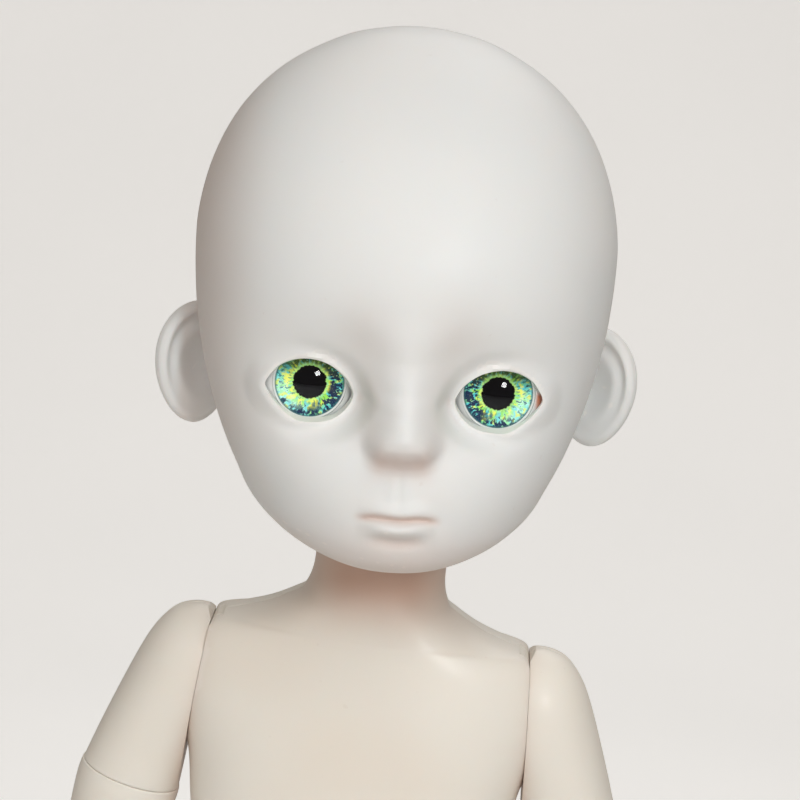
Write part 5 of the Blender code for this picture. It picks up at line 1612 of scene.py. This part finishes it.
def leg_pieces():
    """The same for the left leg."""
    knee = leg_matrix(KNEE_LEVEL + KNEE.span)
    ankle = leg_matrix(ANKLE_HEIGHT)
    front, back = make_sleeve(
        "thigh",
        THIGH_SHARES,
        SIDE_GAP,
        THIGH_SLEEVE + THIGH_DOME,
        THIGH_WIDTH,
        THIGH_DEPTH,
        THIGH_PEG,
        0,
        leg_matrix(HIP_LEVEL - THIGH_SLEEVE),
        HIP,
    )
    size = (THIGH_LENGTH - THIGH_SLEEVE, THIGH_WIDTH, THIGH_DEPTH)
    lower = make_turning_piece("lower_thigh", LOWER_THIGH_SHARES, *size, THIGH_PEG, KNEE, knee)
    size = (SHIN_LENGTH, SHIN_WIDTH)
    shin = make_lower_limb("shin", SHIN_SHARES, *size, KNEE, ANKLE, leg_matrix(KNEE_LEVEL))
    return (
        ("hip_hub", "hip_hub", "joint_plastic", make_hub("hip_hub", HIP)),
        ("thigh_front", "thigh", "body_plastic", front),
        ("thigh_back", "thigh", "body_plastic", back),
        ("lower_thigh", "lower_thigh", "body_plastic", lower),
        ("knee_link", "knee_link", "joint_plastic", make_link("knee_link", KNEE, knee)),
        ("shin", "shin", "body_plastic", shin),
        ("ankle_ball", "ankle_ball", "joint_plastic", make_ball_peg("ankle_ball", ANKLE, ankle)),
        ("foot", "foot", "body_plastic", make_foot(ankle)),
    )


# Materials


class Graph:
    """Short calls for laying out one material's nodes."""

    def __init__(self, name):
        self.material = bpy.data.materials.new(name)
        self.material.use_nodes = True
        self.tree = self.material.node_tree
        self.shader = self.tree.nodes["Principled BSDF"]
        self.output = self.tree.nodes["Material Output"]

    def add(self, kind, **settings):
        node = self.tree.nodes.new("ShaderNode" + kind)
        for key, value in settings.items():
            setattr(node, key, value)
        return node

    def feed(self, source, target):
        """Sets a socket to a number or colour, or links it to another socket."""
        if isinstance(source, bpy.types.NodeSocket):
            self.tree.links.new(source, target)
        else:
            target.default_value = source

    def point(self):
        return self.add("TexCoord").outputs["Object"]

    def noise(self, vector, scale, detail=3, roughness=0.5):
        node = self.add("TexNoise")
        self.feed(vector, node.inputs["Vector"])
        self.feed(scale, node.inputs["Scale"])
        self.feed(detail, node.inputs["Detail"])
        self.feed(roughness, node.inputs["Roughness"])
        return node.outputs["Fac"]

    def math(self, operation, a, b=0.0):
        node = self.add("Math", operation=operation)
        for value, socket in zip((a, b), node.inputs):
            self.feed(value, socket)
        return node.outputs["Value"]

    def times(self, first, *others):
        for other in others:
            first = self.math("MULTIPLY", first, other)
        return first

    def plus(self, a, b):
        return self.math("ADD", a, b)

    def span(self, value, low, high, to_low=0.0, to_high=1.0):
        """Carries a value from one range over to another, smoothly and held at its ends."""
        node = self.add("MapRange", interpolation_type="SMOOTHSTEP")
        numbers = (value, low, high, to_low, to_high)
        names = ("Value", "From Min", "From Max", "To Min", "To Max")
        for number, name in zip(numbers, names):
            self.feed(number, node.inputs[name])
        return node.outputs["Result"]

    def vector(self, x, y, z):
        node = self.add("CombineXYZ")
        for source, name in ((x, "X"), (y, "Y"), (z, "Z")):
            self.feed(source, node.inputs[name])
        return node.outputs["Vector"]

    def mix(self, share, one, two):
        node = self.add("Mix", data_type="RGBA")
        self.feed(share, node.inputs[0])
        for color, socket in ((one, node.inputs[6]), (two, node.inputs[7])):
            if isinstance(color, tuple):
                color = (*color, 1)
            self.feed(color, socket)
        return node.outputs[2]

    def layers(self, base, *layers):
        """Lays colours over a base one after the other, each by its own share."""
        for share, color in layers:
            base = self.mix(share, base, color)
        return base

    def shade(self, sources):
        """Feeds the shader's sockets by their names."""
        for name, source in sources.items():
            self.feed(source, self.shader.inputs[name])
        return self.material

    def attribute(self, name):
        return self.add("Attribute", attribute_name=name).outputs["Fac"]

    def edges(self, low, high):
        """How convex or hollow the surface is, from the mesh itself."""
        return self.span(self.add("NewGeometry").outputs["Pointiness"], low, high)

    def bump(self, height, strength, distance):
        node = self.add("Bump")
        self.feed(height, node.inputs["Height"])
        self.feed(strength, node.inputs["Strength"])
        self.feed(distance, node.inputs["Distance"])
        return node.outputs["Normal"]


def cast_plastic(name, color, warm, roughness, coat, grain, soft, blotch=0.0):
    """Matt or satin cast plastic: clouding, fine grain, painted shade in hollows, a painted
    highlight on convex edges and the painted warm shade stored on the mesh's points.
    """
    graph = Graph(name)
    point = graph.point()
    clouds = graph.noise(point, 55, 4, 0.55)
    flow = graph.noise(point, 18, 2, 0.5)
    specks = graph.noise(point, 900, 2, 0.6)
    fine = graph.noise(point, 2600, 3, 0.6)
    middle = tuple(0.5 * (a + b) * 1.02 for a, b in zip(color, warm))
    base = graph.layers(
        color,
        (graph.span(clouds, 0.34, 0.68), warm),
        (graph.span(flow, 0.40, 0.62, 0.0, 0.5), middle),
        (graph.span(flow, 0.54, 0.68, 0.0, blotch), BLOTCH_COLOR),
        (graph.span(specks, 0.70, 0.80, 0.0, 0.10), SPECK_COLOR),
        # painted shade: darker brown where the mesh is hollow, where shade would fall
        (graph.times(graph.edges(0.485, 0.40), 0.45), HOLLOW_SHADE_COLOR),
        # painted highlight: lighter where the mesh is convex, along edges that catch the light
        (graph.times(graph.edges(0.53, 0.62), 0.35), EDGE_HIGHLIGHT_COLOR),
        # painted shade: warm brown by a share stored on each point, in shaded places of the face,
        # neck and shoulder seams
        (graph.attribute("painted_shade"), PAINTED_SHADE_COLOR),
    )
    rough = graph.span(clouds, 0.3, 0.7, roughness - 0.05, roughness + 0.06)
    waves = graph.times(graph.noise(point, 320, 3, 0.5), 0.65)
    height = graph.plus(graph.times(fine, 0.35), waves)
    return graph.shade(
        {
            "Base Color": base,
            "Roughness": graph.plus(rough, graph.span(fine, 0.3, 0.7, -0.03, 0.03)),
            "Normal": graph.bump(height, grain, GRAIN_HEIGHT),
            "Coat Weight": coat,
            "Coat Roughness": 0.16,
            "IOR": 1.48,
            "Subsurface Weight": soft,
            "Subsurface Radius": (1.0, 0.62, 0.45),
            "Subsurface Scale": SOFT_DEPTH,
        }
    )


def eye_white():
    """Polished white with a bluish tint, a faint painted glow, and the painted orange brown shade
    at the left eye's outer corner.
    """
    graph = Graph("eye white")
    point = graph.point()
    clouds = graph.noise(point, 260, 3, 0.5)
    base = graph.layers(
        EYE_WHITE_COLOR,
        (graph.span(clouds, 0.35, 0.65), (0.82, 0.83, 0.82)),
        # painted shade: orange brown where the gap at the left eye's outer corner is in shade
        (graph.attribute("painted_shade"), (0.62, 0.17, 0.05)),
    )
    return graph.shade(
        {
            "Base Color": base,
            "Roughness": graph.span(clouds, 0.3, 0.7, 0.10, 0.18),
            "Normal": graph.bump(graph.noise(point, 700, 2, 0.5), 0.05, 0.00004),
            # painted light: a faint glow that lightens the eye white, though it is no lamp
            "Emission Color": (0.62, 0.66, 0.65, 1),
            "Emission Strength": 0.06,
            "Coat Weight": 0.4,
            "Coat Roughness": 0.04,
        }
    )


def iris_paint(name, side):
    """Speckled lime and cyan ring round a black pupil, with dark blue patches by the nose, and a
    painted glow.
    """
    graph = Graph(name)
    parts = graph.add("SeparateXYZ")
    graph.feed(graph.point(), parts.inputs["Vector"])
    across = graph.times(parts.outputs["X"], -side / IRIS_EDGE)
    up = graph.times(parts.outputs["Z"], 1 / IRIS_EDGE)
    far = graph.math("SQRT", graph.plus(graph.times(across, across), graph.times(up, up)))
    turn = graph.math("ARCTAN2", up, across)
    ray = graph.vector(graph.math("COSINE", turn), graph.math("SINE", turn), graph.times(far, 0.75))
    plane = graph.vector(across, up, IRIS_SEEDS[side])
    spokes = graph.noise(ray, 5.0, 3, 0.55)
    thin = graph.noise(ray, 11, 2, 0.55)
    spots = graph.noise(plane, 3.4, 2, 0.55)
    patches = graph.noise(plane, 2.2, 2, 0.5)
    dots = graph.noise(plane, 6.0, 1, 0.5)
    inner = graph.span(far, 0.92, 0.66)
    outer = graph.times(graph.span(far, 0.66, 0.94), graph.span(patches, 0.40, 0.55, 0.25, 0.9))
    below = graph.times(
        graph.span(across, 0.30, -0.50), graph.span(up, 0.35, -0.35), graph.span(far, 0.48, 0.75)
    )
    where = graph.math("MAXIMUM", graph.span(across, 0.00, 0.50), graph.span(up, -0.50, -0.90))
    mottled = graph.plus(graph.times(spots, 0.45), graph.times(thin, 0.55))
    dark = graph.times(where, graph.span(far, 0.52, 0.66), graph.span(mottled, 0.455, 0.495))
    lid_shade = graph.times(graph.span(up, 0.05, 0.60), graph.span(thin, 0.42, 0.56, 0.70, 0.98))
    fringe = graph.plus(far, graph.times(graph.math("SUBTRACT", spokes, 0.5), 0.16))
    lime, yellow = (0.28, 0.66, 0.09), (0.78, 0.82, 0.10)
    cyan, teal = (0.10, 0.56, 0.62), (0.015, 0.15, 0.19)
    navy, pale = (0.004, 0.012, 0.060), (0.55, 0.92, 0.80)
    base = graph.layers(
        cyan,
        (graph.span(spokes, 0.44, 0.54), lime),
        (graph.times(graph.span(spots, 0.50, 0.58), inner), yellow),
        (outer, cyan),
        (graph.times(below, graph.span(thin, 0.44, 0.56, 0.35, 1.0)), pale),
        (graph.times(graph.span(thin, 0.55, 0.60), 0.80), teal),
        (graph.times(graph.span(dots, 0.42, 0.36), 0.70), yellow),
        (graph.times(graph.span(dots, 0.56, 0.62), outer), navy),
        (graph.times(dark, 0.97), navy),
        (lid_shade, (0.030, 0.060, 0.012)),
        (graph.span(far, 0.93, 1.0, 0.0, 0.8), (0.01, 0.10, 0.12)),
        (graph.span(fringe, 0.62, 0.50, 0.0, 0.60), (0.42, 0.74, 0.22)),
        (graph.span(fringe, 0.50, 0.475), (0.001, 0.0015, 0.003)),
        (graph.span(far, 1.0, 1.02), EYE_WHITE_COLOR),
    )
    return graph.shade(
        {
            "Base Color": base,
            "Roughness": graph.span(spots, 0.3, 0.7, 0.40, 0.60),
            # painted light: the iris glows in its own colours, dark at the white ring, so that it
            # reads bright under the lids
            "Emission Color": graph.mix(graph.span(far, 0.96, 1.0), base, (0.09, 0.10, 0.10)),
            "Emission Strength": IRIS_PAINTED_GLOW,
            "Specular IOR Level": 0.0,
            "Normal": graph.bump(spokes, 0.15, 0.00005),
        }
    )


def clear_dome():
    """Clear glossy dome: it passes light straight through and mirrors the lamps."""
    graph = Graph("clear dome")
    see = graph.add("BsdfTransparent")
    shine = graph.add("BsdfGlossy")
    waves = graph.noise(graph.point(), 400, 2, 0.5)
    graph.feed(graph.span(waves, 0.3, 0.7, 0.015, 0.05), shine.inputs["Roughness"])
    fresnel = graph.add("Fresnel")
    fresnel.inputs["IOR"].default_value = 1.5
    outside = graph.math("SUBTRACT", 1.0, graph.add("NewGeometry").outputs["Backfacing"])
    share = graph.times(graph.math("MINIMUM", fresnel.outputs["Fac"], DOME_MOST_SHINE), outside)
    blend = graph.add("MixShader")
    for source, socket in zip((share, see.outputs["BSDF"], shine.outputs["BSDF"]), blend.inputs):
        graph.feed(source, socket)
    graph.feed(blend.outputs["Shader"], graph.output.inputs["Surface"])
    return graph.material


def pale_ground(name, color):
    """Pale matt ground that the camera sees lighter than it lights the figure."""
    graph = Graph(name)
    clouds = graph.noise(graph.point(), 6, 3, 0.5)
    base = graph.mix(graph.span(clouds, 0.3, 0.7), color, tuple(0.985 * part for part in color))
    seen = graph.add("LightPath").outputs["Is Camera Ray"]
    return graph.shade(
        {
            "Base Color": base,
            "Roughness": 0.85,
            "Specular IOR Level": 0.2,
            "Emission Color": base,
            "Emission Strength": graph.times(seen, GROUND_GLOW),
        }
    )


# Colour, its warmer shade, roughness, coat, grain, softness below the surface and blotches
PLASTICS = {
    "head_vinyl": ((0.765, 0.785, 0.785), (0.79, 0.79, 0.775), 0.50, 0.02, 0.10, 0.10),
    "body_plastic": ((0.82, 0.785, 0.715), (0.835, 0.79, 0.71), 0.42, 0.10, 0.09, 0.10, 0.22),
    "joint_plastic": ((0.76, 0.72, 0.64), (0.78, 0.73, 0.64), 0.42, 0.10, 0.14, 0.06),
}
MATERIALS = {
    slot: cast_plastic(slot.replace("_", " "), *looks) for slot, looks in PLASTICS.items()
}
MATERIALS["eye_white"] = eye_white()
MATERIALS["cornea"] = clear_dome()


# Painted shade: shares of a warm painted shade in the hollows of the face and other shaded places,
# worked out for each point


def face_painted_shade(point):
    """Share of warm painted shade between the lips, under the lower lip, under and beside the nose,
    below the brow, under the jaw and on the right temple; the line between the lips is partly the
    lips' own brown."""
    x, y, z = point
    height = z - NECK_LEVEL
    # painted shade on the right temple
    temple = smooth_step(0.018, 0.029, -x) * (1 - smooth_step(0.0300, 0.0315, -x))
    share = 0.26 * temple * (1 - smooth_step(-0.006, 0.016, y))
    if y > 0:
        return share
    across = abs(x)
    reach = across / MOUTH_HALF_WIDTH
    up = height - lip_line(x)
    # painted shade in the line between the lips, partly the lips' own brown, and under the lower
    # lip
    share += 0.52 * hill(up, 0.00015, 0.00045) * (1 - smooth_step(0.75, 1.15, reach))
    share += 0.20 * hill(up, -0.0033, 0.0007) * (1 - smooth_step(0.3, 0.95, reach))
    # painted shadow under the nose
    under = hill(height, NOSE_FOOT + 0.0006, 0.0014)
    share += 0.46 * under * (1 - smooth_step(0.0025, 0.0052, across))
    # painted shade under the jaw
    jaw = 1 - smooth_step(-0.001, 0.011, height)
    share += 0.36 * jaw * (1 - smooth_step(-0.014, 0.0, y))
    share += face_spot(across, height, *NOSE_SIDE_SHADE)
    share += face_spot(across, height, *BROW_SHADE)
    return min(share, 1)


def body_painted_shade(point):
    """Share of warm painted shade on the neck, most of it under the chin, and along the shoulder
    seams, stronger lower down.
    """
    x, y, z = point
    rise = smooth_step(-0.017, -0.005, z - NECK_LEVEL)
    share = (0.20 + 0.64 * rise) * rise * (1 - 0.4 * smooth_step(0.004, 0.010, abs(x)))
    if y >= SPINE_Y:
        share = 0
    # painted shade in the shoulder seams, stronger lower down where the arm leaves the chest
    aside = SIDE_PLANE @ Vector((abs(x), y, z))
    below = smooth_step(0.006, -0.016, aside.z)
    seam = math.exp(-abs(aside.x) / SHOULDER_SHADE_WIDTH)
    share += (0.16 + 0.30 * below) * seam * smooth_step(BEND_LEVEL, BEND_LEVEL + 0.01, z)
    return min(share, 1)


def socket_painted_shade(point):
    """Share of orange brown painted shade on the left eyeball's outer side, where the gap behind
    the lid is in shade.
    """
    x, y, z = point
    if y > -0.004:
        return 0
    side = smooth_step(0.0050, 0.0054, x) * smooth_step(-0.0044, -0.0034, z)
    return side * (1 - smooth_step(0.0000, 0.0008, z))


def no_painted_shade(point):
    return 0


# Stores a share of painted shade on each point of a piece.
def painted_shade(piece, share_at):
    layer = piece.data.attributes.new("painted_shade", "FLOAT", "POINT")
    for vertex, value in zip(piece.data.vertices, layer.data):
        value.value = share_at(vertex.co)


# Finishing and placing


def weld(piece):
    shell = bmesh.new()
    shell.from_mesh(piece.data)
    bmesh.ops.remove_doubles(shell, verts=shell.verts, dist=WELD_DISTANCE)
    shell.to_mesh(piece.data)
    shell.free()


def dress(piece, node, body, slot, rounding=EDGE_ROUND, material=None):
    """Rounds the edges, smooths the shading and hangs a piece on its body in its node's place."""
    if rounding:
        piece.data.transform(piece.matrix_basis)
        piece.matrix_basis = Matrix.Identity(4)
    weld(piece)
    # painted shade on the neck under the chin and in the shoulder seams
    if slot == "body_plastic":
        painted_shade(piece, body_painted_shade)
    piece.name = "fine_" + node
    piece.data.materials.clear()
    piece.data.materials.append(material or MATERIALS[slot])
    piece.data.shade_smooth()
    piece.data.set_sharp_from_angle(angle=SMOOTH_ANGLE)
    if rounding:
        bevel = piece.modifiers.new("edges", "BEVEL")
        bevel.width = rounding
        bevel.segments = 2
        bevel.limit_method = "ANGLE"
        bevel.angle_limit = SMOOTH_ANGLE
        bevel.harden_normals = True
    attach(piece, body)
    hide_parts(node)


def dress_trunk():
    for piece, node in zip(make_pelvis(), ("pelvis_front", "pelvis_back")):
        dress(piece, node, "pelvis", "body_plastic")
    dress(make_abdomen(), "abdomen", "abdomen", "body_plastic")
    for piece, node in zip(make_chest(), ("chest_front", "chest_back")):
        dress(piece, node, "chest", "body_plastic")
    cup, anchor = make_neck_joint()
    dress(cup, "neck_swivel", "neck_swivel", "joint_plastic")
    dress(anchor, "neck_anchor", "neck_anchor", "joint_plastic")


def dress_head():
    tilt = rest_tilt()
    shell, cap = make_head()
    # painted shade in the face's hollows and under the jaw
    painted_shade(shell, face_painted_shade)
    shell.data.transform(tilt)
    cap.data.transform(tilt)
    dress(shell, "head_shell", "head", "head_vinyl")
    dress(cap, "head_cap", "head_cap", "head_vinyl")
    slots = ("eye_white", "iris", "cornea")
    for piece, stem, slot in zip(make_eye(), ("eyeball", "iris", "cornea"), slots):
        twin = mirrored(piece, stem + "_twin")
        for part, side, word in ((piece, LEFT, "left"), (twin, RIGHT, "right")):
            # painted shade on the left eyeball's outer side
            if stem == "eyeball":
                painted_shade(part, socket_painted_shade if side == LEFT else no_painted_shade)
            part.matrix_basis = tilt @ part.matrix_basis
            paint = iris_paint("iris " + word, side) if stem == "iris" else None
            dress(part, f"{stem}_{word}", "head", slot, 0, paint)


def dress_limbs():
    """Dresses each piece of the left arm and leg and its right hand twin."""
    for stem, body, slot, piece in (*arm_pieces(), *leg_pieces()):
        twin = mirrored(piece, stem + "_twin")
        dress(piece, stem + "_left", body + "_left", slot)
        dress(twin, stem + "_right", body + "_right", slot)


# Floor, lamps and camera


def make_floor():
    """Pale floor that curves up into a backdrop."""
    profile = [(FLOOR_FRONT, 0.0)]
    for step in range(CURVE_STEPS + 1):
        turn = math.pi / 2 * step / CURVE_STEPS
        y = CURVE_START + CURVE_RADIUS * math.sin(turn)
        profile.append((y, CURVE_RADIUS - CURVE_RADIUS * math.cos(turn)))
    profile.append((CURVE_START + CURVE_RADIUS, BACKDROP_HEIGHT))
    points = [(x, y, z) for y, z in profile for x in (-FLOOR_HALF_WIDTH, FLOOR_HALF_WIDTH)]
    corners = range(0, 2 * len(profile) - 2, 2)
    mesh = bpy.data.meshes.new("floor")
    mesh.from_pydata(points, [], [(low, low + 1, low + 3, low + 2) for low in corners])
    floor = as_object("floor", mesh)
    mesh.shade_smooth()
    mesh.materials.append(pale_ground("pale ground", GROUND_COLOR))


def make_lamp(name, place_at, width, power, color, mirrored_in):
    light = bpy.data.lights.new(name, "AREA")
    light.shape = "DISK"
    light.size = width
    light.energy = power
    light.color = color
    lamp = as_object(name, light)
    lamp.location = place_at
    toward = Vector(FACE_PLACE) - Vector(place_at)
    lamp.rotation_euler = toward.to_track_quat("-Z", "Y").to_euler()
    lamp.visible_camera = False
    lamp.visible_glossy = mirrored_in


def make_world():
    """Dim warm light from all round, behind which the camera sees a pale grey."""
    world = bpy.data.worlds.new("studio")
    bpy.context.scene.world = world
    world.use_nodes = True
    tree = world.node_tree
    light = tree.nodes["Background"]
    path = tree.nodes.new("ShaderNodeLightPath")
    tint = tree.nodes.new("ShaderNodeMix")
    tint.data_type = "RGBA"
    tint.inputs[6].default_value = WORLD_LIGHT
    tint.inputs[7].default_value = WORLD_SEEN
    tree.links.new(path.outputs["Is Camera Ray"], tint.inputs[0])
    tree.links.new(tint.outputs[2], light.inputs["Color"])


def make_camera():
    camera = bpy.data.cameras.new("camera")
    camera.lens = CAMERA_LENS
    camera.sensor_width = 36
    camera.sensor_fit = "HORIZONTAL"
    camera.clip_start = 0.02
    camera.clip_end = 20
    shot = as_object("camera", camera)
    turned_round = Matrix.Rotation(CAMERA_TURN, 3, "Z")
    ahead = Vector((0, math.cos(CAMERA_RISE), -math.sin(CAMERA_RISE)))
    toward = turned_round @ ahead
    right = Matrix.Rotation(CAMERA_ROLL, 3, toward) @ turned_round @ Vector((1, 0, 0))
    turn = Matrix((right, right.cross(toward), -toward)).transposed().to_4x4()
    place_at = Vector(CAMERA_TARGET) - toward * CAMERA_DISTANCE
    shot.matrix_world = Matrix.Translation(place_at) @ turn
    bpy.context.scene.camera = shot


dress_trunk()
dress_head()
dress_limbs()
make_floor()
for lamp_name, looks in LAMPS.items():
    make_lamp(lamp_name, *looks)
make_world()
make_camera()
bpy.context.scene.view_settings.view_transform = "Standard"
